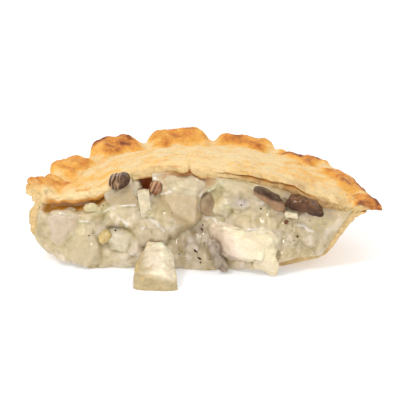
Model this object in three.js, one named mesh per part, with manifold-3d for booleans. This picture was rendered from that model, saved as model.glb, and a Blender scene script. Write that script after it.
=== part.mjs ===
// Half of a chicken and mushroom pot pie, cut straight through: a domed top crust with a hand-crimped
// rim, a thin pastry shell, and a creamy filling whose chicken, mushroom and leek show at the cut.
// Millimetres, +Z up. The cut faces -Y. The origin is on the flat underside, CUT_TO_ORIGIN behind the cut.
import * as THREE from "three";
import { mergeVertices } from "three/addons/utils/BufferGeometryUtils.js";
import Module from "manifold-3d";

const wasm = await Module();
wasm.setup();

// ---- Driving dimensions ----
const CUT_TO_ORIGIN = 20; // from the cut back to the origin
const BASE_RADIUS = 45.5; // outside of the shell wall at the bottom
const WALL_RADIUS = 59.5; // outside of the shell wall under the rim
const RIM_HEIGHT = 25.8; // top of the rim between two crimps
const RIM_TILT = 0.4; // the left rim is higher and the right rim lower by this
const RIM_BACK_LIFT = 2.4; // the rim at the back is higher than at the cut by this
const RIM_INNER_RADIUS = 53; // where the dome ends and the crimped rim starts
const DOME_HEIGHT = 12.4; // top of the dome above the rim
const DOME_CENTRE_X = -5; // the dome peaks left of the pie's axis
const LID_THICKNESS = 4.2; // top crust at the dome
const RIM_THICKNESS = 2.5; // top crust at the rim
const SHELL_THICKNESS = 3; // bottom crust
const FLANGE_THICKNESS = 1.7; // edge of the bottom crust under the rim
const BASE_SHIFT = -2.8; // the underside lies this far left of the rim
const GAP = 0.3; // between two pieces that touch

// Each crimp of the rim: the angle where it ends (it starts where the last one ended), how far its tip
// and the notch after it lie from the pie's axis, how much its tip is lifted, and how much more at its end
// than at its start. Angles run from +X to the back.
const FIRST_NOTCH = { angle: -7, radius: 60 };
const CRIMPS = [
  { end: 14, reach: 64.8, notch: 60.2, lift: -0.8, lean: 0 },
  { end: 42, reach: 62.2, notch: 60.2, lift: -4.2, lean: 0 },
  { end: 67.5, reach: 61.8, notch: 61, lift: -2.4, lean: -2.5 },
  { end: 92, reach: 64.6, notch: 62.2, lift: 0.9, lean: 4 },
  { end: 116.5, reach: 66.2, notch: 62.6, lift: 2.4, lean: 0 },
  { end: 139.5, reach: 66.2, notch: 62.2, lift: 2.4, lean: 0 },
  { end: 161.5, reach: 64.9, notch: 62.8, lift: 0.3, lean: 0 },
  { end: 187, reach: 65.2, notch: 60, lift: 2.2, lean: 1.5 },
];
const CRIMP_FLANK = 6.5; // degrees from a notch to the crimp's full reach
const STEPS_PER_CRIMP = 6;
const DOME_RINGS = 7;
const RIM_SHARES = [0.16, 0.4, 0.68, 0.92]; // rings across the rim, before its tip

const COLOURS = {
  crust: 0xe9bd78,
  shell: 0xe6c88a,
  sauce: 0xd8c69c,
  chicken: 0xeadcbc,
  mushroom: 0x7a5c48,
  leek: 0xdccf8c,
  onion: 0xe0dcc0,
};

// ---- Small helpers ----
const radians = THREE.MathUtils.degToRad;
const lerp = THREE.MathUtils.lerp;
const smooth = (value, low, high) => THREE.MathUtils.smoothstep(value, low, high);

// A smooth, repeatable unevenness between about -1 and 1.
function wobble(x, y, z, seed = 0) {
  const a = Math.sin(x * 0.9 + seed * 1.7) * Math.cos(y * 1.1 - seed * 0.6);
  const b = Math.sin(y * 0.8 + z * 0.7 + seed * 2.3);
  const c = Math.cos(z * 1.2 - x * 0.5 + seed * 0.9);
  return (a + b * c + 0.5 * Math.sin(x * 2.1 + z * 1.9 + seed)) / 2.2;
}

// A closed three.js geometry with only positions, shared between its triangles.
function bareGeometry(geometry) {
  const bare = geometry.index ? geometry.toNonIndexed() : geometry.clone();
  bare.deleteAttribute("normal");
  bare.deleteAttribute("uv");
  return mergeVertices(bare, 1e-3);
}

// A bare geometry as a manifold solid.
function solidOf(bare) {
  const mesh = new wasm.Mesh({
    numProp: 3,
    vertProperties: new Float32Array(bare.attributes.position.array),
    triVerts: new Uint32Array(bare.index.array),
  });
  return new wasm.Manifold(mesh);
}

const solidFrom = (geometry) => solidOf(bareGeometry(geometry));

// The largest body of a solid: a carved piece can leave scraps beside it.
function largestBody(solid) {
  const bodies = solid.decompose();
  return bodies.reduce((best, body) => (body.volume() > best.volume() ? body : best));
}

function geometryFrom(solid) {
  const mesh = solid.getMesh();
  const geometry = new THREE.BufferGeometry();
  geometry.setAttribute("position", new THREE.BufferAttribute(mesh.vertProperties, 3));
  geometry.setIndex(new THREE.BufferAttribute(mesh.triVerts, 1));
  geometry.computeVertexNormals();
  return geometry;
}

// ---- The crimped rim and the dome ----

// The outline's radius at an angle in degrees, and how much it is lifted there.
function crimpAt(degrees) {
  let start = FIRST_NOTCH;
  for (const { end, reach, notch, lift, lean } of CRIMPS) {
    if (degrees <= end) {
      const along = (degrees - start.angle) / (end - start.angle);
      const fullness = Math.pow(smooth(Math.min(degrees - start.angle, end - degrees), 0, CRIMP_FLANK), 0.7);
      const radius = lerp(lerp(start.radius, notch, along), reach, fullness);
      return { radius, lift: (lift + lean * (along - 0.5)) * fullness };
    }
    start = { angle: end, radius: notch };
  }
  return { radius: start.radius, lift: 0 };
}

const rimReach = (degrees) => crimpAt(degrees).radius;

// How high the rim lies at a place, before the crimps lift it.
const rimLevel = (x, y) => RIM_HEIGHT - (RIM_TILT * x) / WALL_RADIUS + (RIM_BACK_LIFT * y) / WALL_RADIUS;

// 0 at the top of the dome and 1 where it meets the rim, along a straight line from the top.
function domeShare(x, y) {
  const dx = x - DOME_CENTRE_X;
  const far = Math.hypot(dx, y);
  if (far < 1e-6) return 0;
  const along = (DOME_CENTRE_X * dx) / far;
  const limit = -along + Math.sqrt(along * along + RIM_INNER_RADIUS ** 2 - DOME_CENTRE_X ** 2);
  return Math.min(1, far / limit);
}

// The dome has sagged at its left and bulges over the chicken at its middle: [x, reach, height].
const DOME_SWELLS = [
  [-18, 10, 1.2],
  [-40, 9, -2.6],
  [42, 10, -1.4],
];

function lidTop(degrees, r) {
  const x = r * Math.cos(radians(degrees));
  const y = r * Math.sin(radians(degrees));
  let dome = DOME_HEIGHT * (1 - Math.pow(domeShare(x, y), 1.7));
  for (const [cx, reach, height] of DOME_SWELLS) {
    dome += height * Math.exp(-(((x - cx) / reach) ** 2) - (y / 16) ** 2);
  }
  const { radius, lift } = crimpAt(degrees);
  const outward = smooth(r, RIM_INNER_RADIUS - 2, radius);
  const pressed = 0.9 * Math.exp(-(((r - RIM_INNER_RADIUS - 1) / 2.5) ** 2)); // thumb marks inside the rim
  const uneven = 0.45 * wobble(x * 0.16, y * 0.16, 0, 4);
  return rimLevel(x, y) + dome + lift * outward - pressed + uneven;
}

function lidThickness(r) {
  return lerp(LID_THICKNESS, RIM_THICKNESS, smooth(r, RIM_INNER_RADIUS - 8, RIM_INNER_RADIUS + 3));
}

const lidUnder = (degrees, r) => lidTop(degrees, r) - lidThickness(r);

// Outside of the shell wall at a height.
const wallRadius = (z) => BASE_RADIUS + (WALL_RADIUS - BASE_RADIUS) * Math.pow(z / RIM_HEIGHT, 0.72);

// ---- Solids swept through the half circle ----

// The angles of the sweep, the same number of steps in each crimp.
function sweepAngles(steps = STEPS_PER_CRIMP) {
  const angles = [0];
  let start = 0;
  for (const crimp of CRIMPS) {
    const end = Math.min(180, crimp.end);
    for (let i = 1; i <= steps; i++) angles.push(lerp(start, end, i / steps));
    start = end;
  }
  return angles;
}

// The cut isn't dead flat.
function raggedCut(x, y, z) {
  return [x, y + 0.9 * wobble(x * 0.13, 0, z * 0.05, 2) * Math.exp(-y / 14), z];
}

// The shell leans to the left, its wall has slumped outwards at the left end of the cut, and its bottom
// curls up at the right end.
function slumped(x, y, z) {
  const up = THREE.MathUtils.clamp(z / RIM_HEIGHT, 0, 1);
  const nearCut = Math.exp(-Math.max(0, y) / 13);
  const left = x < 0 ? 8 * Math.sin(Math.PI * (0.14 + up * 0.83)) : 0;
  const right = x > 0 ? 1.6 * Math.sin(Math.PI * up) : 0;
  const shift = BASE_SHIFT * (1 - up) - (left + right) * smooth(Math.abs(x), 30, 50) * nearCut;
  const curl = 4.4 * smooth(x, 24, 47) * (1 - up) * nearCut;
  return raggedCut(x + shift, y, z + curl);
}

// Sweeps a profile of [radius, height] points, from the axis round to the axis again, from +X over the
// back to -X, and closes both ends. The profile runs anticlockwise, seen with the axis on the left.
function sweepHalf(profileAt, deform, angles = sweepAngles()) {
  const rows = angles.map(profileAt);
  const count = rows[0].length;
  const points = rows.map((row, i) =>
    row.map(([r, z]) => {
      const angle = radians(angles[i]);
      return deform(r * Math.cos(angle), r * Math.sin(angle), z);
    }),
  );
  const corners = [];
  const triangle = (a, b, c) => corners.push(...a, ...b, ...c);
  for (let i = 0; i + 1 < rows.length; i++) {
    for (let j = 0; j + 1 < count; j++) {
      const [a, b] = [points[i][j], points[i][j + 1]];
      const [c, d] = [points[i + 1][j + 1], points[i + 1][j]];
      if (rows[i][j][0] > 0) triangle(a, d, c);
      if (rows[i][j + 1][0] > 0) triangle(a, c, b);
    }
  }
  for (const [i, flip] of [[0, false], [rows.length - 1, true]]) {
    const outline = rows[i].map(([r, z]) => new THREE.Vector2(r, z));
    for (const [a, b, c] of THREE.ShapeUtils.triangulateShape(outline, [])) {
      const [p, q, s] = [points[i][a], points[i][b], points[i][c]];
      if (flip) triangle(p, s, q);
      else triangle(p, q, s);
    }
  }
  const geometry = new THREE.BufferGeometry();
  geometry.setAttribute("position", new THREE.Float32BufferAttribute(corners, 3));
  const solid = solidFrom(geometry);
  if (solid.volume() < 0) throw new Error("a swept profile runs the wrong way");
  return solid;
}

// ---- Top crust ----
function lidProfile(degrees, grow) {
  const reach = rimReach(degrees);
  const radii = [];
  for (let i = 0; i <= DOME_RINGS; i++) radii.push((RIM_INNER_RADIUS * i) / DOME_RINGS);
  for (const share of RIM_SHARES) radii.push(lerp(RIM_INNER_RADIUS, reach, share));
  const thin = (r) => (r > lerp(RIM_INNER_RADIUS, reach, 0.9) ? 0.55 : 0); // rounds the edge
  const under = radii.map((r) => [r, lidUnder(degrees, r) + thin(r) - grow]);
  const top = radii.map((r) => [r, lidTop(degrees, r) - thin(r) + grow]);
  const tip = [reach + grow, lidTop(degrees, reach) - RIM_THICKNESS / 2];
  return [...under, tip, ...top.reverse()];
}
const lidSolid = () => sweepHalf((degrees) => lidProfile(degrees, 0), raggedCut);

// What a crust takes out of its neighbours is a little larger and ends a little past the cut.
const PAST_CUT = 0.8;
const pastCut = (deform) => (x, y, z) => deform(x, y < 1e-6 ? y - PAST_CUT : y, z);
const lidHollow = sweepHalf((degrees) => lidProfile(degrees, GAP), pastCut(raggedCut));

// ---- Bottom crust ----

// Its upper edge runs into the top crust, which is cut out of it with a gap.
function shellProfile(degrees, grow) {
  const flangeReach = rimReach(degrees) - 1.3 + grow;
  const flangeRoot = lidUnder(degrees, RIM_INNER_RADIUS) - FLANGE_THICKNESS - 2;
  const rootRadius = wallRadius(flangeRoot);
  const flangeMiddle = lerp(rootRadius, flangeReach, 0.6);
  const flangeInner = rootRadius - SHELL_THICKNESS - 0.6;
  const outside = [5, 10].map((z) => [wallRadius(z) + grow, z]);
  const inside = [14.5, 10, 6].map((z) => [wallRadius(z) - SHELL_THICKNESS - grow, z]);
  return [
    [0, 0],
    [BASE_RADIUS - 1.6, 0],
    [BASE_RADIUS + 1.2 + grow, 1.4],
    ...outside,
    [rootRadius + grow, flangeRoot],
    [flangeMiddle, lidUnder(degrees, flangeMiddle) - FLANGE_THICKNESS - grow],
    [flangeReach, lidUnder(degrees, flangeReach) - FLANGE_THICKNESS * 0.6 - grow],
    [flangeReach - 0.2, lidUnder(degrees, flangeReach - 0.2) + 0.7],
    [flangeMiddle - 0.5, lidUnder(degrees, flangeMiddle - 0.5) + 0.7],
    [flangeInner - grow, lidUnder(degrees, flangeInner) + 0.7],
    ...inside,
    [BASE_RADIUS - 1.8 - grow, SHELL_THICKNESS + grow],
    [0, SHELL_THICKNESS + grow],
  ];
}
function shellSolid(grow = 0, deform = slumped) {
  const whole = sweepHalf((degrees) => shellProfile(degrees, grow), deform, sweepAngles(5));
  return largestBody(whole.subtract(lidHollow));
}

// ---- Filling ----

// What fills the shell, a little clear of both crusts behind the cut.
function fillingBody() {
  return sweepHalf(
    (degrees) => {
      const top = [0.9, 0.7, 0.45].map((share) => {
        const r = share * RIM_INNER_RADIUS;
        return [r, lidUnder(degrees, r) - 1.2];
      });
      return [
        [0, SHELL_THICKNESS + GAP + 0.05],
        [BASE_RADIUS - 4, SHELL_THICKNESS + GAP + 0.05],
        ...[7, 12, 18].map((z) => [wallRadius(z) - SHELL_THICKNESS - 1, z]),
        ...top,
        [0, lidUnder(degrees, 0) - 1.2],
      ];
    },
    slumped,
    sweepAngles(3),
  );
}

// Sauce that has slumped out of the cut: [x, z, half width, half height, how far it stands out].
const SAUCE_BULGES = [
  [-50, 14, 8, 10, 3],
  [-40, 5, 13, 9, 7.5],
  [-40, 20, 9, 6, 3.5],
  [-28, 18, 8, 6, 6],
  [-25, 9, 10, 7, 8],
  [-16, 16, 9, 8, 7],
  [-17, 5, 11, 7, 9.5],
  [-6, 28, 13, 9, 3],
  [-2, 6, 12, 8, 7.5],
  [6, 20, 9, 8, 4],
  [14, 27, 13, 9, 3.6],
  [16, 14, 14, 10, 6],
  [22, 5, 13, 7, 8.5],
  [35, 15, 13, 10, 3.8],
  [45, 14, 9, 9, 2],
];

function sauceReach(x, z) {
  let reach = 0.6;
  for (const [cx, cz, halfWidth, halfHeight, out] of SAUCE_BULGES) {
    const far = ((x - cx) / halfWidth) ** 2 + ((z - cz) / halfHeight) ** 2;
    reach = Math.max(reach, out * Math.exp(-far * 0.7));
  }
  return reach + 0.5 * wobble(x * 0.5, 0, z * 0.5, 7);
}

// The slumped front, a thick sheet between the walls that lies on the table where sauce has run out.
const FRONT_COLUMNS = 32;
const FRONT_ROWS = 8;

function frontPlace(i, j) {
  const share = i / FRONT_COLUMNS;
  const edge = (side, z) => slumped(side * (wallRadius(z) - SHELL_THICKNESS - 0.4), 0, z)[0];
  const across = lerp(-WALL_RADIUS + 2, WALL_RADIUS - 3.5, share);
  const high = lidUnder(across < 0 ? 180 : 0, Math.min(WALL_RADIUS - 3, Math.abs(across))) - 0.8;
  const low = 7 * smooth(share, 0.68, 0.9) + 3 * (1 - smooth(share, 0, 0.12));
  const z = lerp(low, high, j / FRONT_ROWS);
  return [lerp(edge(-1, z), edge(1, z), share), z];
}

function sauceFront() {
  const corners = [];
  const at = (i, j, back) => {
    const [x, z] = frontPlace(i, j);
    const atEdge = i === 0 || i === FRONT_COLUMNS || j === FRONT_ROWS;
    return [x, back ? 2 : -Math.max(0.2, sauceReach(x, z) * (atEdge ? 0.25 : 1)), z];
  };
  const quad = (a, b, c, d) => corners.push(...a, ...b, ...c, ...a, ...c, ...d);
  for (let i = 0; i < FRONT_COLUMNS; i++) {
    for (let j = 0; j < FRONT_ROWS; j++) {
      quad(at(i, j), at(i + 1, j), at(i + 1, j + 1), at(i, j + 1));
      quad(at(i, j, true), at(i, j + 1, true), at(i + 1, j + 1, true), at(i + 1, j, true));
    }
    quad(at(i, 0, true), at(i + 1, 0, true), at(i + 1, 0), at(i, 0));
    quad(at(i, FRONT_ROWS), at(i + 1, FRONT_ROWS), at(i + 1, FRONT_ROWS, true), at(i, FRONT_ROWS, true));
  }
  for (let j = 0; j < FRONT_ROWS; j++) {
    const last = FRONT_COLUMNS;
    quad(at(0, j, true), at(0, j), at(0, j + 1), at(0, j + 1, true));
    quad(at(last, j), at(last, j, true), at(last, j + 1, true), at(last, j + 1));
  }
  const geometry = new THREE.BufferGeometry();
  geometry.setAttribute("position", new THREE.Float32BufferAttribute(corners, 3));
  return solidFrom(geometry);
}

// Steam pockets under the top crust, open at the cut: [x, z, half width, half depth, half height, tilt].
const STEAM_POCKETS = [
  [-46, 23.2, 10, 9, 1.7, 14],
  [-3, 34.2, 10, 9, 1.3, -6],
  [-20.5, 31.2, 2.2, 8, 2.6, 0],
];

// ---- Pieces in the filling ----

// A boiled piece with rounded corners and uneven faces. out is how far its middle stands in front of
// the cut (negative: behind it), size its width, depth and height, turn its angles in degrees.
function morsel({ x, out, z, size, turn = [0, 0, 0], round = 0.4, rough = 0.5, seed = 1, cuts = 3 }) {
  const geometry = new THREE.BoxGeometry(1, 1, 1, cuts, cuts, cuts);
  const position = geometry.attributes.position;
  const point = new THREE.Vector3();
  for (let i = 0; i < position.count; i++) {
    point.fromBufferAttribute(position, i);
    const ball = point.clone().normalize().multiplyScalar(0.56);
    point.lerp(ball, round).multiply(new THREE.Vector3(...size));
    const outward = point.clone().normalize();
    point.addScaledVector(outward, rough * wobble(point.x * 0.45, point.y * 0.45, point.z * 0.45, seed));
    position.setXYZ(i, point.x, point.y, point.z);
  }
  const place = new THREE.Object3D();
  place.position.set(x, -out, z);
  place.rotation.set(...turn.map(radians), "ZYX");
  place.updateMatrix();
  return geometry.applyMatrix4(place.matrix);
}

// The outline of a mushroom slice, from its right over its cap: the cap is wide and its stem short.
const SLICE_OUTLINE = [1, 0.98, 0.96, 0.95, 0.95, 0.95, 0.96, 0.98, 1, 0.86, 0.5, 0.78, 0.8, 0.78, 0.5, 0.86];

// A slice through a mushroom with rounded edges, which has curled a little.
function mushroomSlice({ x, out, z, width, height, thickness, turn, seed = 1 }) {
  const count = SLICE_OUTLINE.length;
  const curled = (px, py, pz) => [px, py + 0.03 * px * px + 0.25 * wobble(px * 0.5, 0, pz * 0.5, seed), pz];
  const at = (i, share, py) => {
    const angle = (2 * Math.PI * i) / count;
    const r = share * SLICE_OUTLINE[i % count];
    return curled((r * Math.cos(angle) * width) / 2, py * thickness, (r * Math.sin(angle) * height) / 2);
  };
  const rings = [[0.78, -0.5], [1, -0.2], [1, 0.2], [0.78, 0.5]];
  const corners = [];
  for (let i = 0; i < count; i++) {
    corners.push(...curled(0, -thickness / 2, 0), ...at(i, ...rings[0]), ...at(i + 1, ...rings[0]));
    corners.push(...curled(0, thickness / 2, 0), ...at(i + 1, ...rings[3]), ...at(i, ...rings[3]));
    for (let k = 0; k < 3; k++) {
      const [a, b] = [at(i, ...rings[k]), at(i + 1, ...rings[k])];
      const [c, d] = [at(i + 1, ...rings[k + 1]), at(i, ...rings[k + 1])];
      corners.push(...a, ...d, ...c, ...a, ...c, ...b);
    }
  }
  const geometry = new THREE.BufferGeometry();
  geometry.setAttribute("position", new THREE.Float32BufferAttribute(corners, 3));
  const place = new THREE.Object3D();
  place.position.set(x, -out, z);
  place.rotation.set(...turn.map(radians), "ZYX");
  place.updateMatrix();
  return geometry.applyMatrix4(place.matrix);
}

// The chicken piece that has slid out and lies on the table: a wedge that is higher at the pie.
function slidPiece({ x, width, front, back, frontHeight, backHeight, turn, seed }) {
  const cuts = 5;
  const geometry = new THREE.BoxGeometry(1, 1, 1, cuts, cuts, 4);
  const position = geometry.attributes.position;
  for (let i = 0; i < position.count; i++) {
    const [u, v, w] = [position.getX(i), position.getY(i), position.getZ(i) + 0.5];
    const height = lerp(frontHeight, backHeight, v + 0.5);
    const pinch = 1 - 0.16 * w - 0.1 * (v + 0.5);
    const roundEdge = 1 - 0.08 * (2 * Math.abs(u)) ** 4 - 0.08 * (2 * Math.abs(v)) ** 4;
    const px = u * width * pinch;
    const py = lerp(-front, -back, v + 0.5);
    const bump = 0.45 * wobble(px * 0.5, py * 0.5, w * 3, seed) * smooth(w, 0, 0.3);
    position.setXYZ(i, px + bump * Math.sign(u), py, w * height * roundEdge + bump);
  }
  geometry.rotateZ(radians(turn));
  geometry.translate(x, 0, 0);
  return geometry;
}

// Later pieces are carved by the earlier ones.
const PIECES = [
  {
    name: "chicken_slid_out",
    colour: "chicken",
    shape: slidPiece({
      x: -17.2, width: 17.6, front: 26.6, back: 8.4, frontHeight: 6.4, backHeight: 13, turn: 4, seed: 3,
    }),
  },
  {
    name: "mushroom_cap_left",
    colour: "mushroom",
    shape: morsel({
      x: -30.4, out: 2, z: 33, size: [8.2, 6, 6.8], turn: [12, 18, 0], round: 0.75, rough: 0.3, seed: 5,
    }),
  },
  {
    name: "mushroom_slice_right",
    colour: "mushroom",
    shape: mushroomSlice({
      x: 36.6, out: 0.6, z: 22.8, width: 14, height: 7.6, thickness: 4.2, turn: [-24, 22, 0], seed: 2,
    }),
  },
  {
    name: "mushroom_slice_middle",
    colour: "mushroom",
    shape: mushroomSlice({
      x: 24.6, out: 1, z: 26, width: 14, height: 7.6, thickness: 3.2, turn: [-26, 34, 8], seed: 6,
    }),
  },
  {
    name: "mushroom_gills_middle",
    colour: "mushroom",
    shape: morsel({
      x: -17.3, out: 1.4, z: 31.4, size: [4.4, 4.4, 5.2], turn: [0, 15, 0], round: 0.7, rough: 0.25, seed: 8,
    }),
  },
  {
    name: "onion_chip_right",
    colour: "onion",
    shape: morsel({
      x: 32, out: 4, z: 22.4, size: [4.8, 3, 2.2], turn: [0, 4, 0], round: 0.55, rough: 0.12, seed: 4,
    }),
  },
  {
    name: "onion_strip_middle",
    colour: "onion",
    shape: morsel({
      x: -20.7, out: 2.6, z: 24.5, size: [4.6, 3.6, 10.6], turn: [6, -8, 0], round: 0.45, rough: 0.2, seed: 9,
    }),
  },
  {
    name: "mushroom_piece_centre",
    colour: "mushroom",
    shape: morsel({
      x: 2.2, out: 2, z: 25, size: [6.4, 5, 10.4], turn: [0, 8, 0], round: 0.8, rough: 0.2, seed: 2,
    }),
  },
  {
    name: "mushroom_strip_low",
    colour: "mushroom",
    shape: morsel({
      x: 5.6, out: 7.8, z: 7.6, size: [3.6, 5.4, 14.4], turn: [8, -20, 0], round: 0.5, rough: 0.3, seed: 3,
    }),
  },
  {
    name: "leek_piece_left",
    colour: "leek",
    shape: morsel({
      x: -35.9, out: 7.2, z: 12, size: [5.2, 4, 3.8], turn: [20, -24, 10], round: 0.35, rough: 0.2, seed: 6,
    }),
  },
  {
    name: "leek_piece_high",
    colour: "leek",
    shape: morsel({
      x: -40.3, out: 2.8, z: 21.6, size: [5, 3.6, 3.4], turn: [0, 12, 0], round: 0.45, rough: 0.15, seed: 7,
    }),
  },
  {
    name: "leek_piece_centre",
    colour: "leek",
    shape: morsel({
      x: 9, out: 3.6, z: 25, size: [3.8, 3, 3], turn: [0, -20, 0], round: 0.45, rough: 0.15, seed: 2,
    }),
  },
  {
    name: "chicken_centre",
    colour: "chicken",
    shape: morsel({
      x: -8, out: -1.8, z: 23.2, size: [19, 14, 19], turn: [8, 6, 0], round: 0.32, rough: 0.9, seed: 4,
    }),
  },
  {
    name: "chicken_flap_low",
    colour: "chicken",
    shape: morsel({
      x: 23.6, out: 9, z: 6, size: [8, 5, 10], turn: [-20, -10, 10], round: 0.3, rough: 0.5, seed: 5,
    }),
  },
  {
    name: "chicken_low_right",
    colour: "chicken",
    shape: morsel({
      x: 15.4, out: 3.4, z: 8, size: [21, 15, 13.6], turn: [-28, 6, 4], round: 0.3, rough: 0.9, seed: 8,
    }),
  },
  {
    name: "chicken_left",
    colour: "chicken",
    shape: morsel({
      x: -51.4, out: -1.8, z: 14.4, size: [13.5, 12, 15.4], turn: [10, -14, -6], round: 0.36, seed: 6,
    }),
  },
  {
    name: "chicken_low_left",
    colour: "chicken",
    shape: morsel({
      x: -41, out: 2, z: 6.8, size: [18, 13.4, 12.6], turn: [4, 10, 6], round: 0.45, rough: 0.6, seed: 9,
    }),
  },
  {
    name: "chicken_slab_high",
    colour: "chicken",
    shape: morsel({
      x: -29.4, out: -2.4, z: 26, size: [14.4, 11, 9.6], turn: [-10, 14, 0], round: 0.3, rough: 0.4, seed: 1,
    }),
  },
  {
    name: "chicken_middle",
    colour: "chicken",
    shape: morsel({
      x: -18, out: 2.4, z: 15, size: [14.4, 11.6, 11.4], turn: [12, 14, 0], round: 0.5, rough: 0.6, seed: 2,
    }),
  },
  {
    name: "chicken_low_middle",
    colour: "chicken",
    shape: morsel({
      x: -29, out: 3, z: 12.6, size: [10.4, 10, 9], turn: [6, -8, 0], round: 0.6, rough: 0.4, seed: 7,
    }),
  },
];

// ---- Fitting the pieces together ----
const crusts = lidHollow.add(shellSolid(GAP, pastCut(slumped)));

// A slightly larger copy, which leaves a gap all round when it is cut out of a neighbour.
function hollowFor(geometry) {
  const bare = bareGeometry(geometry);
  bare.computeVertexNormals();
  const { position, normal } = bare.attributes;
  for (let i = 0; i < position.count; i++) {
    const point = new THREE.Vector3().fromBufferAttribute(position, i);
    point.addScaledVector(new THREE.Vector3().fromBufferAttribute(normal, i), 1.5 * GAP);
    position.setXYZ(i, point.x, point.y, point.z);
  }
  return solidOf(bare);
}

// What lies under the table top, removed from everything that slumped onto it.
const underTable = solidFrom(new THREE.BoxGeometry(300, 300, 100).translate(0, 0, -50));

const hollows = PIECES.map((piece) => hollowFor(piece.shape));

function fitPieces() {
  return PIECES.map((piece, i) => {
    let solid = solidFrom(piece.shape).subtract(crusts).subtract(underTable);
    for (const hollow of hollows.slice(0, i)) solid = solid.subtract(hollow);
    return { ...piece, solid: largestBody(solid) };
  });
}

function fillingSolid() {
  let filling = fillingBody().add(sauceFront()).subtract(crusts).subtract(underTable);
  for (const [x, z, halfWidth, halfDepth, halfHeight, tilt] of STEAM_POCKETS) {
    const pocket = new THREE.SphereGeometry(1, 10, 6).scale(halfWidth, halfDepth, halfHeight);
    pocket.rotateY(radians(-tilt)).translate(x, 0, z);
    filling = filling.subtract(solidFrom(pocket));
  }
  for (const hollow of hollows) filling = filling.subtract(hollow);
  return largestBody(filling);
}

// ---- The pie ----
const pie = new THREE.Group();
pie.position.y = -CUT_TO_ORIGIN;

function addNode(name, solid, colour, roughness) {
  const material = new THREE.MeshStandardMaterial({ color: COLOURS[colour], roughness, metalness: 0 });
  const mesh = new THREE.Mesh(geometryFrom(solid), material);
  mesh.name = name;
  pie.add(mesh);
}

addNode("top_crust", lidSolid(), "crust", 0.55);
addNode("bottom_crust", shellSolid(), "shell", 0.65);
addNode("filling", fillingSolid(), "sauce", 0.3);
for (const { name, solid, colour } of fitPieces()) addNode(name, solid, colour, 0.35);

export default pie;
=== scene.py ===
"""Half of a chicken and mushroom pot pie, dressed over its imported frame: crimped crusts, a slumped creamy
filling and the pieces in it. Shapes are made in millimetres, with the cut at y = 0 and the table at z = 0,
and are brought into the frame when a piece is handed over."""

import math
import random
from collections import namedtuple

import bmesh
import bpy
from bpy.props import FloatProperty, FloatVectorProperty, PointerProperty
from mathutils import Euler, Matrix, Vector, noise
from mathutils.bvhtree import BVHTree


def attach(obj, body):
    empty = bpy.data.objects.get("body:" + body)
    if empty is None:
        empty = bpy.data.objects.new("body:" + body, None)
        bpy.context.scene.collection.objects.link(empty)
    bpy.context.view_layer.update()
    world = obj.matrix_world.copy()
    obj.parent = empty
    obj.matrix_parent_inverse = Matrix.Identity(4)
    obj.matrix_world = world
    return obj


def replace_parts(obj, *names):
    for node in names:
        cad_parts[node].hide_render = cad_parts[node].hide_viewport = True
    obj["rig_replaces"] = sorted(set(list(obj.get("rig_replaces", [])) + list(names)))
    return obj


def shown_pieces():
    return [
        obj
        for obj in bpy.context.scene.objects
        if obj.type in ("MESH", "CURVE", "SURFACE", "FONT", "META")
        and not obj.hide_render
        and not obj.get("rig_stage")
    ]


bl_info = {
    "name": "Half pot pie",
    "version": (1, 0, 0),
    "blender": (4, 5, 0),
    "location": "View3D > Sidebar > Pot Pie",
    "description": "Bakes half of a chicken and mushroom pot pie over its frame",
    "category": "Add Mesh",
}

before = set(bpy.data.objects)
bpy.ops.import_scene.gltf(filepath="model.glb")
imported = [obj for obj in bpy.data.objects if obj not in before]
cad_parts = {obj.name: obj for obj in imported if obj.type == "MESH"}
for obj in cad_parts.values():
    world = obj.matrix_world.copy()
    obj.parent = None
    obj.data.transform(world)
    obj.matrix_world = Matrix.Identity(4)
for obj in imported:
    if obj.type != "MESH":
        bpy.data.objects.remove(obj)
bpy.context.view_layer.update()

MM = 0.001


def srgb(red, green, blue):
    """A colour given as it shows on a screen, 0 to 255, as the linear colour that shaders use."""
    shares = (red / 255, green / 255, blue / 255)
    return tuple(((v + 0.055) / 1.055) ** 2.4 if v > 0.04 else v / 12.92 for v in shares)


# ---- What a user would change ----


def length(name, about, millimetres):
    return FloatProperty(name=name, description=about, default=millimetres * MM, unit="LENGTH", precision=4)


def colour(name, about, shade):
    return FloatVectorProperty(
        name=name, description=about, default=srgb(*shade), subtype="COLOR", size=3, min=0, max=1
    )


class PieSizes(bpy.types.PropertyGroup):
    """Sizes of the half pie"""

    cut_to_origin: length("Cut to origin", "From the cut back to the origin", 20)
    base_radius: length("Base radius", "Outside of the shell wall at the bottom", 45.5)
    wall_radius: length("Wall radius", "Outside of the shell wall under the rim", 59.5)
    rim_height: length("Rim height", "Top of the rim between two crimps", 25.8)
    rim_tilt: length("Rim tilt", "How much the left rim is higher and the right rim lower", 0.4)
    rim_back_lift: length("Rim back lift", "How much higher the rim is at the back", 2.4)
    rim_inner_radius: length("Rim inner radius", "Where the dome ends and the crimped rim starts", 53)
    dome_height: length("Dome height", "Top of the dome above the rim", 12.4)
    dome_centre: length("Dome centre", "Where the dome peaks along the cut", -5)
    lid_thickness: length("Lid thickness", "Top crust at the dome", 4.2)
    rim_thickness: length("Rim thickness", "Top crust at the rim", 2.5)
    shell_thickness: length("Shell thickness", "Bottom crust", 3)
    flange_thickness: length("Flange thickness", "Edge of the bottom crust under the rim", 1.7)


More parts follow.
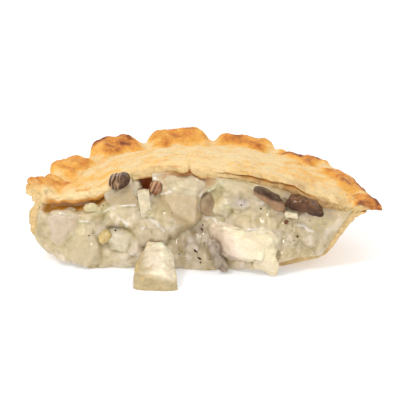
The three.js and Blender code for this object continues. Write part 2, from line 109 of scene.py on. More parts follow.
class PieColours(bpy.types.PropertyGroup):
    """Colours of the half pie"""

    crust_pale: colour("Pale crust", "Least baked pastry on the dome", (233, 203, 148))
    crust_golden: colour("Golden crust", "Golden pastry towards the rim", (236, 177, 80))
    crust_brown: colour("Brown crust", "Well baked pastry on the crimps", (212, 136, 54))
    crust_dark: colour("Dark crust", "Edges of the crimps", (126, 60, 22))
    dough: colour("Dough", "Moist pastry at the cut", (208, 174, 116))
    underside: colour("Underside", "Steamed pastry over the hollows", (190, 122, 36))
    sauce: colour("Sauce", "Cream sauce", (222, 201, 160))
    leek: colour("Leek", "Pale green leek", (220, 206, 156))
    onion: colour("Onion", "Pale onion", (234, 218, 182))
    pepper: colour("Pepper", "Ground black pepper", (84, 50, 28))
    table: colour("Table", "Floor under the pie", (218, 220, 224))


# ---- Small helpers ----


def mix(a, b, share):
    return a + (b - a) * share


def blend(a, b, share):
    """Two colours mixed."""
    return tuple(mix(p, q, share) for p, q in zip(a, b))


def ramp(value, low, high):
    """0 below low, 1 above high and smooth between them."""
    share = min(1.0, max(0.0, (value - low) / (high - low)))
    return share * share * (3 - 2 * share)


def between(value, low, full, fall, high):
    """1 from full to fall, and smooth down to 0 at low and at high."""
    return ramp(value, low, full) * (1 - ramp(value, fall, high))


def bump(value, centre, width):
    """A smooth hump of height 1."""
    return math.exp(-(((value - centre) / width) ** 2))


def rough(x, y, z, size, seed):
    """Smooth unevenness between about -1 and 1 whose lumps are as large as size."""
    return 1.8 * noise.noise(Vector((x / size + seed * 7.31, y / size - seed * 3.17, z / size + seed * 5.73)))


def wobble(x, y, z, seed):
    """Gentle waves between about -1 and 1, whose crests are a few units apart."""
    a = math.sin(x * 0.9 + seed * 1.7) * math.cos(y * 1.1 - seed * 0.6)
    b = math.sin(y * 0.8 + z * 0.7 + seed * 2.3)
    c = math.cos(z * 1.2 - x * 0.5 + seed * 0.9)
    return (a + b * c + 0.5 * math.sin(x * 2.1 + z * 1.9 + seed)) / 2.2


def humps(x, y, z, size, seed):
    """Rounded humps with sharp valleys between them."""
    return abs(rough(x, y, z, size, seed))


def layered(x, y, z, layers):
    """Unevenness of several sizes: how high each is, how large its lumps are, and its seed."""
    return sum(height * rough(x, y, z, size, seed) for height, size, seed in layers)


def fade(distance, reach):
    """1 up to a distance of 0, falling off over reach beyond it."""
    return math.exp(-max(0.0, distance) / reach)


def from_oval(x, y, middle_x, middle_y, half_width, half_height):
    """How far a spot is from an oval's middle, squared: 1 on the oval."""
    return ((x - middle_x) / half_width) ** 2 + ((y - middle_y) / half_height) ** 2


def from_line(x, y, x0, y0, x1, y1):
    """Where a spot is along a straight line, 0 to 1, and how far it is from the line."""
    dx, dy = x1 - x0, y1 - y0
    along = min(1.0, max(0.0, ((x - x0) * dx + (y - y0) * dy) / (dx * dx + dy * dy)))
    return along, math.hypot(x - x0 - along * dx, y - y0 - along * dy)


def direction(degrees):
    """Cosine and sine of an angle, with a sine of exactly 0 at both ends of the cut."""
    turn = math.radians(degrees)
    return math.cos(turn), 0.0 if degrees in (0, 180) else math.sin(turn)


# ---- The pie's main surfaces ----

# Where each crimp of the rim ends in degrees, how far its tip and the notch after it reach, how much its tip
# is lifted, how much more at its end than at its start, and how brown it is. Angles run from +X over the
# back; each crimp starts where the last ended.
FIRST_NOTCH = (-7, 60)
CRIMPS = [
    (14, 64.8, 60.2, -0.8, 0, 1.05),
    (42, 62.2, 60.2, -4.2, 0, 0.95),
    (67.5, 61.8, 61, -2.4, -2.5, 1.2),
    (92, 64.6, 62.2, 0.9, 4, 0.85),
    (116.5, 66.2, 62.6, 2.4, 0, 0.86),
    (139.5, 66.2, 62.2, 2.4, 0, 1.1),
    (161.5, 64.9, 62.8, 0.3, 0, 0.75),
    (187, 65.2, 60, 2.2, 1.5, 0.85),
]
# The dome bulges over the chicken left of its middle, and has sagged at both sides: x, reach, height.
DOME_SWELLS = [(-18, 10, 1.2), (-40, 9, -2.6), (42, 10, -1.4)]
# How far the shell's base has shifted to the left, and the gap left between meshes.
BASE_SHIFT = -2.8
GAP = 0.3
# Sauce that has slumped out of the cut: x, z, half width, half height, how far it stands out.
SAUCE_BULGES = [
    (-53, 8, 6, 9, 2.6),
    (-50, 14, 8, 10, 3),
    (-40, 5, 13, 9, 7.5),
    (-40, 20, 9, 6, 3.5),
    (-28, 18, 8, 6, 6),
    (-25, 9, 10, 7, 8),
    (-16, 16, 9, 8, 7),
    (-17, 5, 11, 7, 9.5),
    (-6, 28, 13, 9, 3),
    (-2, 6, 12, 8, 7.5),
    (6, 20, 9, 8, 4),
    (14, 27, 13, 9, 3.6),
    (16, 14, 14, 10, 6),
    (22, 5, 13, 7, 8.5),
    (35, 15, 13, 10, 3.8),
    (45, 14, 9, 9, 2),
]
# Steam pockets under the lid, open at the cut: x, half width, how far the filling has sunk, and the painted
# shade on the filling inside it, in the brown of the lid's underside above.
STEAM_POCKETS = [
    (-46, 13.0, 1.9, (196, 134, 44)),
    (-5, 11, 1.0, (226, 156, 80)),
    (-21.2, 3.6, 4.4, (178, 88, 30)),
]


# The rim at one angle: its outline's radius, how far it is lifted, how brown it is, how full the crimp is
# there (0 at a notch) and the angle to the nearest notch.
Crimp = namedtuple("Crimp", "radius lift brown full from_notch")


class PieForm:
    """The surfaces that the frame's crusts and filling follow, from the sizes in the panel."""

    def __init__(self, sizes):
        for name in PieSizes.__annotations__:
            setattr(self, name, getattr(sizes, name) / MM)

    def crimp(self, degrees):
        """The rim at an angle."""
        start, radius = FIRST_NOTCH
        for end, reach, notch, lift, lean, brown in CRIMPS:
            if degrees <= end:
                along = (degrees - start) / (end - start)
                nearest = min(degrees - start, end - degrees)
                full = ramp(nearest, 0.6, 6.5) ** 0.7
                raised = lift + lean * (along - 0.5)
                # the lobes that the cut goes through narrow to a point there
                reach -= 4.5 * between(degrees, 0.5, 12, 13, 20)
                reach -= 4 * ramp(180 - degrees, 0.5, 13) * ramp(degrees, 160, 166)
                outline = mix(mix(radius, notch, along), reach, full)
                return Crimp(outline, raised * full, brown, full, nearest)
            start, radius = end, notch
        return Crimp(radius, 0, 0.5, 0, 0)

    def rim_level(self, x, y):
        tilt, lift = self.rim_tilt * x / self.wall_radius, self.rim_back_lift * y / self.wall_radius
        return self.rim_height - tilt + lift

    def dome_share(self, x, y):
        dx = x - self.dome_centre
        far = math.hypot(dx, y)
        if far < 1e-6:
            return 0.0
        along = self.dome_centre * dx / far
        limit = -along + math.sqrt(along * along + self.rim_inner_radius**2 - self.dome_centre**2)
        return min(1.0, far / limit)

    def lid_top(self, x, y, crimp):
        """Top of the lid, before its fine relief."""
        r = math.hypot(x, y)
        dome = self.dome_height * (1 - self.dome_share(x, y) ** 1.7)
        for middle, reach, height in DOME_SWELLS:
            dome += height * math.exp(-(((x - middle) / reach) ** 2) - (y / 16) ** 2)
        pressed = 0.6 * bump(r, self.rim_inner_radius + 1, 2.5)
        uneven = 0.45 * wobble(x * 0.16, y * 0.16, 0, 4)
        outward = ramp(r, self.rim_inner_radius - 2, crimp.radius)
        curl = 2.4 * ramp(-x, 56, 65) * fade(y, 9)
        return self.rim_level(x, y) + dome + crimp.lift * outward + curl - pressed + uneven

    def lid_thickness_at(self, r):
        rim = ramp(r, self.rim_inner_radius - 8, self.rim_inner_radius + 3)
        return mix(self.lid_thickness, self.rim_thickness, rim)

    def lid_under(self, x, y, crimp):
        return self.lid_top(x, y, crimp) - self.lid_thickness_at(math.hypot(x, y))

    def lid_under_at_cut(self, x):
        return self.lid_under(x, 0, self.crimp(180 if x < 0 else 0))

    def wall_radius_at(self, z):
        share = max(0.0, z / self.rim_height)
        return self.base_radius + (self.wall_radius - self.base_radius) * share**0.72

    def ragged(self, x, y, z):
        """The cut isn't quite straight."""
        return x, y + 0.9 * wobble(x * 0.13, 0, z * 0.05, 2) * math.exp(-y / 14), z

    def slumped(self, x, y, z):
        """The shell leans left and has slumped outwards at the left end of the cut."""
        up = min(1.0, max(0.0, z / self.rim_height))
        near_cut = fade(y, 13)
        left = 8 * math.sin(math.pi * (0.14 + up * 0.83)) if x < 0 else 0
        right = 1.6 * math.sin(math.pi * up) if x > 0 else 0
        shift = BASE_SHIFT * (1 - up) - (left + right) * ramp(abs(x), 30, 50) * near_cut
        curl = 4.4 * ramp(x, 24, 47) * (1 - up) * near_cut
        return self.ragged(x + shift, y, z + curl)

    def sauce_reach(self, x, z):
        """How far the sauce stands out of the cut, before its fine relief."""
        reach = 0.6
        for *oval, out in SAUCE_BULGES:
            reach = max(reach, out * math.exp(-from_oval(x, z, *oval) * 0.7))
        return reach + 0.5 * wobble(x * 0.5, 0, z * 0.5, 7)


def settings(context):
    """The pie's surfaces and its colours, from the panel."""
    return PieForm(context.scene.pie_sizes), context.scene.pie_colours


# ---- Making and handing over a piece ----


def grid_block(*counts):
    """A unit cube from (0, 0, 0) to (1, 1, 1) whose faces are cut into a grid, ready to be shaped."""
    bm = bmesh.new()
    bmesh.ops.create_cube(bm, size=1, matrix=Matrix.Translation((0.5, 0.5, 0.5)))
    for axis, count in enumerate(counts):
        edges = [e for e in bm.edges if abs((e.verts[1].co - e.verts[0].co)[axis]) > 0.5]
        bmesh.ops.subdivide_edges(bm, edges=edges, cuts=count - 1, use_grid_fill=True)
    return bm


def relax(bm, factor):
    every_way = {"use_axis_x": True, "use_axis_y": True, "use_axis_z": True}
    bmesh.ops.smooth_vert(bm, verts=bm.verts, factor=factor, **every_way)


def hand_over(context, bm, name, material, slot, *nodes):
    """Closes the mesh, brings it into the frame and gives the piece its material, body and nodes. The slot is
    not used.
    """
    form, _colours = settings(context)
    bmesh.ops.remove_doubles(bm, verts=bm.verts, dist=1e-4)
    bmesh.ops.dissolve_degenerate(bm, edges=bm.edges, dist=1e-5)
    bmesh.ops.recalc_face_normals(bm, faces=bm.faces)
    to_frame = Matrix.Translation((0, -form.cut_to_origin * MM, 0)) @ Matrix.Scale(MM, 4)
    bmesh.ops.transform(bm, matrix=to_frame, verts=bm.verts)
    for face in bm.faces:
        face.smooth = True
    mesh = bpy.data.meshes.new(name)
    bm.to_mesh(mesh)
    bm.free()
    mesh.materials.append(material)
    piece = bpy.data.objects.new(name, mesh)
    context.scene.collection.objects.link(piece)
    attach(piece, "root")
    if nodes:
        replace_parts(piece, *nodes)


# ---- Materials ----


class Recipe:
    """The node tree of one material, built from short steps."""

    def __init__(self, name, **values):
        self.material = bpy.data.materials.new(name)
        self.material.use_nodes = True
        self.nodes = self.material.node_tree.nodes
        self.links = self.material.node_tree.links
        self.shader = self.nodes["Principled BSDF"]
        self.place = self.nodes.new("ShaderNodeTexCoord").outputs["Object"]
        for socket, value in values.items():
            self.shader.inputs[socket.replace("_", " ").title().replace("Ior", "IOR")].default_value = value

    def put(self, node, socket, value):
        target = node.inputs[socket]
        if isinstance(value, bpy.types.NodeSocket):
            self.links.new(value, target)
        elif isinstance(value, tuple) and len(value) == 3 and target.type == "RGBA":
            target.default_value = (*value, 1)
        else:
            target.default_value = value

    def attribute(self, name, output="Fac"):
        node = self.nodes.new("ShaderNodeAttribute")
        node.attribute_name = name
        return node.outputs[output]

    def noise(self, size, detail, roughness=0.5, stretch=None):
        """Noise whose lumps are size millimetres large."""
        place = self.place
        if stretch:
            mapping = self.nodes.new("ShaderNodeMapping")
            mapping.inputs["Scale"].default_value = stretch
            self.links.new(place, mapping.inputs["Vector"])
            place = mapping.outputs["Vector"]
        node = self.nodes.new("ShaderNodeTexNoise")
        self.links.new(place, node.inputs["Vector"])
        for socket, value in (("Scale", 1000 / size), ("Detail", detail), ("Roughness", roughness)):
            node.inputs[socket].default_value = value
        return node.outputs["Fac"]

    def math(self, operation, a, b=0.0, c=0.0):
        node = self.nodes.new("ShaderNodeMath")
        node.operation = operation
        for i, value in enumerate((a, b, c)):
            self.put(node, i, value)
        return node.outputs[0]

    def spread(self, value, low, high, to_low=0.0, to_high=1.0):
        """Value taken from one range to another, and kept inside it."""
        node = self.nodes.new("ShaderNodeMapRange")
        for i, entry in enumerate((value, low, high, to_low, to_high)):
            self.put(node, i, entry)
        return node.outputs[0]

    def ramp(self, value, stops):
        node = self.nodes.new("ShaderNodeValToRGB")
        elements = node.color_ramp.elements
        while len(elements) < len(stops):
            elements.new(0.5)
        for element, (position, shade) in zip(elements, stops):
            element.position = position
            element.color = (*shade, 1)
        self.put(node, 0, value)
        return node.outputs[0]

    def blend(self, share, a, b, kind="MIX"):
        node = self.nodes.new("ShaderNodeMix")
        node.data_type = "RGBA"
        node.blend_type = kind
        self.put(node, 0, share)
        self.put(node, 6, a)
        self.put(node, 7, b)
        return node.outputs[2]

    def mottle(self, shade, value, darkest, lightest):
        """Darkens and lightens a colour where value is low and high."""
        greys = self.ramp(value, [(0.3, (darkest,) * 3), (0.7, (lightest,) * 3)])
        return self.blend(1.0, shade, greys, "MULTIPLY")

    def relief(self, height, strength, depth):
        """Fine relief of the given depth in millimetres."""
        node = self.nodes.new("ShaderNodeBump")
        node.inputs["Strength"].default_value = strength
        node.inputs["Distance"].default_value = depth * MM
        self.put(node, "Height", height)
        self.put(self.shader, "Normal", node.outputs[0])

    def finish(self, shade, roughness):
        self.put(self.shader, "Base Color", shade)
        self.put(self.shader, "Roughness", roughness)
        return self.material


def pastry_material(colours):
    """Baked pastry: its attributes say how browned it is, and where it is moist dough or steamed."""
    glow = {"subsurface_weight": 0.25, "subsurface_scale": 0.0025, "subsurface_radius": (1, 0.55, 0.22)}
    recipe = Recipe("baked pastry", ior=1.4, **glow)
    coarse = recipe.noise(5, 3)
    fine = recipe.noise(1.1, 4, 0.6)
    streaks = recipe.noise(2.6, 4, 0.6, (0.45, 1, 1))
    mottled = recipe.attribute("bake")
    for unevenness, share in ((coarse, 0.5), (streaks, 0.3), (fine, 0.4)):
        mottled = recipe.math("MULTIPLY_ADD", recipe.math("SUBTRACT", unevenness, 0.5), share, mottled)
    shades = (colours.crust_pale, colours.crust_golden, colours.crust_brown, colours.crust_dark)
    crust = recipe.ramp(mottled, list(zip((0.08, 0.34, 0.62, 0.92), shades)))
    # thin browned cracks between the flakes
    flaky = recipe.math("ABSOLUTE", recipe.math("SUBTRACT", recipe.noise(6, 2, 0.5, (0.5, 1, 1)), 0.5))
    cracks = recipe.math("MULTIPLY", recipe.spread(flaky, 0.0, 0.012, 1, 0), recipe.spread(coarse, 0.42, 0.6))
    crust = recipe.blend(recipe.math("MULTIPLY", cracks, 0.4), crust, tuple(colours.crust_brown))
    crust = recipe.mottle(crust, recipe.noise(0.7, 3, 0.6), 0.86, 1.07)
    layers = recipe.noise(2.0, 4, 0.6, (1, 1, 2.5))
    dough = recipe.mottle(recipe.attribute("tint", "Color"), layers, 0.84, 1.12)
    moist, steamed = recipe.attribute("dough"), recipe.attribute("steamed")
    shade = recipe.blend(steamed, recipe.blend(moist, crust, dough), tuple(colours.underside))
    relief = recipe.math("ADD", recipe.noise(0.9, 5, 0.65, (1, 1, 1.6)), recipe.noise(3, 2))
    recipe.relief(recipe.math("MULTIPLY_ADD", cracks, -0.6, relief), 0.8, 0.6)
    # the moist lip shines, the baked crust and the steamed underside don't
    gloss = recipe.spread(recipe.math("SUBTRACT", moist, steamed), 0, 1, 1, 0.38)
    roughness = recipe.math("MULTIPLY", recipe.spread(fine, 0.3, 0.7, 0.45, 0.66), gloss)
    return recipe.finish(shade, roughness)


def wet_material(name, gloss=0.3, depth=0.003, weight=0.35, grain=1.4, relief=0.22, coat=1.0, level=0.5):
    """Wet food: coloured by its "tint" attribute, with a soft glow under a thin wet film. Gloss is the lowest
    roughness, depth and weight belong to the glow, and grain is the size of its fine relief."""
    recipe = Recipe(
        name,
        subsurface_weight=weight,
        subsurface_scale=depth,
        subsurface_radius=(1, 0.72, 0.42),
        coat_weight=coat,
        coat_roughness=0.06,
        coat_ior=1.42,
        ior=1.38,
        specular_ior_level=level,
    )
    fine = recipe.noise(grain, 4, 0.6)
    shade = recipe.mottle(recipe.attribute("tint", "Color"), fine, 0.7, 0.84)
    recipe.relief(recipe.math("ADD", fine, recipe.noise(grain * 2.6, 2)), relief, 0.6)
    return recipe.finish(shade, recipe.spread(recipe.noise(2.5, 3), 0.35, 0.65, gloss, gloss + 0.2))


def store_tint(bm):
    return bm.verts.layers.float_color.new("tint")


def paint_crease_shade(bm, tint, times=30, darker=0.3, lighter=0.22):
    """Paints shade into creases, darkening the colour there and turning it warmer, and paints highlights on
    ridges by lightening it. Both are found by comparing the mesh with a copy of it that is smoothed so many
    times."""
    bm.normal_update()
    smooth = bm.copy()
    for _ in range(times):
        relax(smooth, 0.5)
    for vert, level in zip(bm.verts, smooth.verts):
        height = (vert.co - level.co).dot(vert.normal)
        light = 1 + max(-0.45, darker * height) if height < 0 else 1 + min(0.15, lighter * height)
        red, green, blue, _ = vert[tint]
        vert[tint] = (red * light**0.9, green * light, blue * light**1.9, 1)
    smooth.free()


# ---- Crusts ----

# Folds in the lid, from one place to another (x, y), and how far each stands up or cuts in.
FOLDS = [
    (-54.3, 8.5, -58, 0.5, -0.6),
    (-37, 1.6, -23, 7.4, 0.55),
    (-23, 7.4, -13, 8.2, 0.5),
    (-33, 2.2, -20, 5, -0.35),
    (30, 5.5, 40, 1.5, -0.4),
    (6, 34, 22, 44, -0.5),
]
# Where the lid's edge has split at the cut, a sunken blister, and dark knobs on the rim: x, y, width, height.
SPLIT_X = -5.4
BLISTER = (-44.3, 2.0, 2.8, 1.1)
KNOBS = [(41, 57, 2.4, 0.8), (49.5, 47, 2.0, 1.6), (53, 40, 2.2, 0.7)]
# Unevenness of the rim's outline, of the dome and of the shell: how high, how large its lumps are, its seed.
OUTLINE_WAVES = [(0.26, 4.5, 1), (0.12, 1.5, 2)]
DOME_WAVES = [(0.5, 14, 3), (0.34, 4.5, 4), (0.12, 1.5, 5)]
SHELL_WAVES = [(0.35, 7, 11), (0.15, 1.8, 12)]
# How far along its path from the middle the shell's base and then its wall end.
BASE_END, WALL_END = 0.3, 0.8


def fold_height(x, y):
    height = 0.0
    for *line, rise in FOLDS:
        along, far = from_line(x, y, *line)
        width = 0.9 if rise > 0 else 0.6
        height += rise * math.exp(-((far / width) ** 2)) * (0.4 + 0.6 * math.sin(math.pi * along))
    return height


def crack_at(x, layer):
    """The crack that runs along the lip near its top, cut in and darkened with painted shade."""
    return bump(layer, 0.84 + 0.08 * rough(x, 0, 0, 5, 46), 0.05)


def bake_crust(bm, form, shape, dough):
    """Shapes a crust's grid, and stores how baked, moist and steamed each place is and its dough's colour."""
    layers = [bm.verts.layers.float.new(name) for name in ("bake", "dough", "steamed")]
    tint = store_tint(bm)
    for vert in bm.verts:
        share, turn, layer = vert.co
        place, finishes = shape(form, share, 180 * turn, layer)
        vert.co = place
        for key, value in zip(layers, finishes):
            vert[key] = value
        vert[tint] = (*dough(*place, layer), 1)


class PIE_OT_top_crust(bpy.types.Operator):
    """Bakes the domed lid with its crimped rim"""

    bl_idname = "pie.top_crust"
    bl_label = "Top crust"

    RINGS, STEPS, LAYERS = 142, 270, 12

    def execute(self, context):
        form, colours = settings(context)
        bm = grid_block(self.RINGS, self.STEPS, self.LAYERS)
        bake_crust(bm, form, self.shape, lambda *spot: self.dough(tuple(colours.dough), *spot))
        hand_over(context, bm, "top_pastry", pastry_material(colours), "top_pastry", "top_crust")
        return {"FINISHED"}

    def dough(self, clear, x, y, z, layer):
        """The moist lip at the cut: pale at the left, clear yellow in the middle, golden over the hollows,
        and tan at the right, where it goes over into blotched and crumbly pastry, with painted shade in its
        crack."""
        shade = blend(srgb(234, 206, 152), clear, ramp(x, -34, -22) * (1 - 0.6 * layer))
        hollow = max(between(-x, 32, 38, 56, 60), bump(x, -5, 9), bump(x, -21, 4))
        golden = blend(srgb(172, 106, 30), srgb(206, 132, 20), ramp(-x, 26, 36))
        shade = blend(shade, golden, 0.9 * hollow * ramp(0.42 + 0.14 * ramp(-x, 26, 36) - layer, 0, 0.3))
        blotch = ramp(rough(x, y, z, 4, 35), -0.4, 0.5)
        right = blend(srgb(172, 134, 82), srgb(212, 180, 120), max(blotch * layer, ramp(x, 46, 52)))
        right = blend(right, srgb(146, 104, 62), 0.7 * ramp(rough(x, y, z, 1.4, 36), 0.45, 0.8))
        # painted shade: the crack along the lip is darkened
        right = blend(right, srgb(96, 60, 30), crack_at(x, layer) * between(x, 12, 16, 30, 38))
        return blend(shade, right, between(x, 8, 16, 54, 60))

    def shape(self, form, share, degrees, layer):
        """A place on the lid, and how baked, moist and steamed it is. Share runs outwards from the middle and
        layer from the underside to the top."""
        layer = (1 - math.cos(math.pi * layer)) / 2
        crimp = form.crimp(degrees)
        cos, sin = direction(degrees)
        radius = crimp.radius
        for height, size, seed in OUTLINE_WAVES:
            radius += height * rough(radius * cos, radius * sin, 0, size, seed)
        edge = form.rim_thickness / 2
        r = (radius - edge) * share
        x, y = r * cos, r * sin
        top = form.lid_top(x, y, crimp)
        under = form.lid_under(x, y, crimp)
        # both ends of the cut: a slender tip at the right, a thin one over crumbly pastry at the left
        right_end, left_end = ramp(x, 53, 62) * fade(y, 6), ramp(-x, 52, 60) * fade(y, 6)
        under += 1.7 * right_end - 3.6 * left_end
        top -= 1.2 * right_end
        raised, *marks = self.top_relief(crimp, degrees, x, y, r, radius, right_end, left_end)
        top += raised
        # the split, and the edge rolled over at the cut
        split = bump(x, SPLIT_X + 0.25 * (1 - layer), 0.35 + 0.8 * (1 - layer) ** 2)
        roll = 0.8 * fade(y, 1.2) + 1.2 * bump(x, SPLIT_X, 0.9) * fade(y, 1.6)
        if share == 1:
            bulge = math.sqrt(max(0.0, 1 - (2 * layer - 1) ** 2))
            bulge += left_end * (0.5 * rough(0, y, 7 * layer, 1.6, 39) - 1.3 * bump(layer, 0.62, 0.2))
            x, y = x + edge * bulge * cos, y + edge * bulge * sin
        ledge = 0.6 * rough(x, 3, 0, 3.2, 19) * fade(y, 2) * (1 - ramp(abs(x), 50, 58))
        ledge += 0.7 * humps(x, 3, 0, 1.5, 47) * fade(y, 1.5) * between(x, 0, 4, 12, 18)
        z = mix(under + ledge, top - roll, layer)
        # the cut: a rounded lip over flaky layers
        cracked = between(x, 2, 8, 34, 42)
        lip = mix(0.9, 1.3, ramp(x, 4, 14)) * layer**2 + 0.3 * (1 - layer) ** 3
        flaky = 0.22 * rough(x * 0.3, 0, z, 0.9, 7) + 0.45 * rough(x, 0, z, 2.5, 8)
        flaky += cracked * (0.5 * rough(x * 0.5, 0, z, 1.3, 44) + 0.5 * humps(x, 0, z, 3.4, 45))
        gap = 1.5 * crack_at(x, layer) * cracked
        y += (lip + flaky + gap + 2.6 * split * (1 - 0.4 * layer)) * math.exp(-y / 3)
        x, y, z = form.ragged(x, y, z)
        return (x, y, z), self.finishes(form, crimp, x, y, r, radius, layer, split, cracked, *marks)

    def top_relief(self, crimp, degrees, x, y, r, radius, right_end, left_end):
        """How far the top is raised, and how clearly the spot is on a crimp, a knob or the blister."""
        # puffed crimps with a step at their inner side and pinched notches between them, more so at the right
        from_edge = radius - r
        plate = crimp.full * (1 - ramp(from_edge + 1.5 * rough(x, y, 0, 5, 16), 9, 12))
        notch = math.exp(-((crimp.from_notch * math.pi / 180 * r / 2.4) ** 2))
        right = ramp(x, 15, 40)
        puff = mix(0.9, 1.7, right) * plate * (1 - 0.5 * bump(from_edge, 0, 3)) * (1 - 0.8 * right_end)
        puff -= mix(0.9, 1.3, right) * notch * ramp(r, radius - 14, radius - 4)
        puff += 0.8 * plate * humps(from_edge, 0.12 * degrees, 0, 3, 20) * ramp(from_edge, 0, 4)
        # uneven pastry, craggy towards the rim and crumbly at the left end
        relief = layered(x, y, 0, DOME_WAVES)
        crags = 0.5 * humps(x, y, 0, 5, 6) + 0.32 * humps(x, y, 0, 2, 17) - 0.25
        relief += crags * ramp(r, 42, 54) * (0.35 + 0.65 * ramp(from_edge, 0, 5))
        relief += 0.16 * rough(x * 0.4, y, 0, 2.2, 18) + 0.5 * humps(x, y, 0, 1.7, 37) * left_end
        relief += 0.3 * max(0.0, rough(x * 0.45, y, 0, 3.4, 38)) * (1 - ramp(r, 46, 54))
        knobs = 0.0
        for knob_x, knob_y, width, height in KNOBS:
            knobs += height * math.exp(-(((x - knob_x) ** 2 + (y - knob_y) ** 2) / width**2))
        blister_x, blister_y, width, depth = BLISTER
        beside = x - blister_x
        sunk = math.exp(-((beside / width) ** 4) - (y - blister_y - 0.04 * beside**2) ** 2)
        return puff + relief + knobs + fold_height(x, y) - depth * sunk, plate, knobs, sunk

    def finishes(self, form, crimp, x, y, r, radius, layer, split, cracked, plate, knobs, sunk):
        """How baked, moist and steamed the lid is."""
        from_edge = radius - r
        bake = 0.09 + 0.1 * rough(x, y, 0, 11, 9) + 0.05 * ramp(x, 5, 40) + 0.06 * ramp(-x, 30, 55)
        bake += 0.09 * rough(x * 0.5, y, 0, 2.8, 40) + 0.07 * max(0.0, rough(x, y, 0, 7, 58))
        patches = 0.14 * rough(x, y, 0, 3.5, 10) + 0.12 * max(0.0, rough(x, y, 0, 1.8, 15))
        bake += crimp.brown * plate * (0.34 + patches + 0.36 * bump(from_edge, 0.2, 1.3))
        bake += 0.12 * crimp.brown * crimp.full * (1 - ramp(from_edge, 8, 17)) + 0.5 * knobs
        bake += 0.2 * sunk + 0.5 * bump(sunk, 0.45, 0.22)
        # paler near the cut
        out = max(0.0, y)
        pale_right = ramp(x, 20, 34) * bump(out, 0, 10) * (1 - ramp(r, 51, 57))
        pale_left = ramp(-x, 28, 44) * bump(out, 0, 4) * (1 - layer * ramp(r, 57, 60))
        bake *= 1 - 0.75 * max(pale_right, 0.9 * pale_left)
        # moist at the cut, in blotches at its right and left, and on the underside
        on_top = layer == 1
        blotched = between(x, 22, 36, 52, 57) * bump(out, 0, 5.5)
        at_cut = max(
            fade(y, 0.8) * 0.7 if on_top else fade(y, 1.2),
            0.85 * blotched * ramp(rough(x, y, 0, 3.6, 41), -0.6, 0.3),
            0.7 * cracked * fade(y, 2.6),
            0.75 * pale_left * ramp(rough(x, y, 0, 3, 59), -0.5, 0.4),
        )
        inside = 1 - ramp(r, radius - 3, radius - form.rim_thickness / 2)
        steamed = 0 if on_top else max(ramp(y, 0.6, 2.2), 0.8 * split) * inside
        dough = max(at_cut, 0 if on_top else inside) * (1 - 0.8 * ramp(r, 56, 62) * (1 - pale_left))
        return bake, dough, steamed


class PIE_OT_bottom_crust(bpy.types.Operator):
    """Bakes the thin shell with its flange under the rim"""

    bl_idname = "pie.bottom_crust"
    bl_label = "Bottom crust"

    RINGS, STEPS, LAYERS = 110, 240, 5

    def execute(self, context):
        form, colours = settings(context)
        bm = grid_block(self.RINGS, self.STEPS, self.LAYERS)
        dough = blend(colours.dough, colours.crust_pale, 0.45)
        bake_crust(bm, form, self.shape, lambda *spot: dough)
        hand_over(context, bm, "base_pastry", pastry_material(colours), "base_pastry", "bottom_crust")
        return {"FINISHED"}

    def path(self, form, along, x_dir, y_dir, crimp):
        """Outer and inner (r, z) of the shell: the base, the wall, then the flange under the rim."""
        near_cut = fade(crimp.radius * abs(y_dir), 8)
        reach = crimp.radius - 1.5 - 4 * near_cut * (1 if x_dir > 0 else 0)
        thick = form.shell_thickness + (1.5 * near_cut if x_dir > 0 else 0)
        root = form.lid_under(form.wall_radius * x_dir, form.wall_radius * y_dir, crimp)
        root -= form.flange_thickness + 1.6
        if along < BASE_END:
            r = form.base_radius * along / BASE_END
            return (r, 0.0), (min(r, form.base_radius - 2), form.shell_thickness)
        if along < WALL_END:
            up = (along - BASE_END) / (WALL_END - BASE_END)
            z = root * up
            outer = form.wall_radius_at(z) - 1.6 * (1 - ramp(z, 0, 2))
            inner_z = mix(form.shell_thickness, root + 1, up)
            return (outer, z), (form.wall_radius_at(inner_z) - thick, inner_z)
        out = (along - WALL_END) / (1 - WALL_END)
        start = form.wall_radius_at(root)
        r, inner = mix(start, reach, out), mix(start - thick, reach, out)
        under, inner_under = (form.lid_under(at * x_dir, at * y_dir, crimp) for at in (r, inner))
        outer_z = mix(root, under - form.flange_thickness * 0.6, ramp(out, 0, 1) ** 0.7)
        return (r, outer_z), (inner - 0.2, mix(root + 1, inner_under - GAP, min(1, out * 3)))

    def shape(self, form, along, degrees, layer):
        """A place on the shell, and how baked, moist and steamed it is."""
        crimp = form.crimp(degrees)
        cos, sin = direction(degrees)
        (outer_r, outer_z), (inner_r, inner_z) = self.path(form, along, cos, sin, crimp)
        r, z = mix(outer_r, inner_r, layer), mix(outer_z, inner_z, layer)
        x, y = r * cos, r * sin
        left = fade(y, 8) if cos < 0 else 0
        if layer == 0 and z > 1:
            crumbly = 0.5 * humps(x, y, z, 3.2, 42) + 0.35 * rough(x, y, z, 1.3, 43)
            r += layered(x, y, z, SHELL_WAVES) + left * crumbly
        x, y, z = form.slumped(r * cos, r * sin, z)
        y += 0.3 * rough(x, 0, z, 1.6, 13) * fade(y, 2)
        bake = 0.16 + 0.16 * ramp(z, 6, 24) + 0.08 * rough(x, y, z, 6, 14) - 0.06 * ramp(z, 3, 0)
        bake += 0.35 * ramp(r, crimp.radius - 5, crimp.radius - 1.5) * crimp.brown * crimp.full
        bake *= 1 - 0.7 * left
        dough = fade(y, 1.6) * (1 - 0.6 * ramp(r, 55, 62))
        return (x, y, max(0.0, z)), (bake, max(dough, 0.9 if layer == 1 else 0), 0.0)
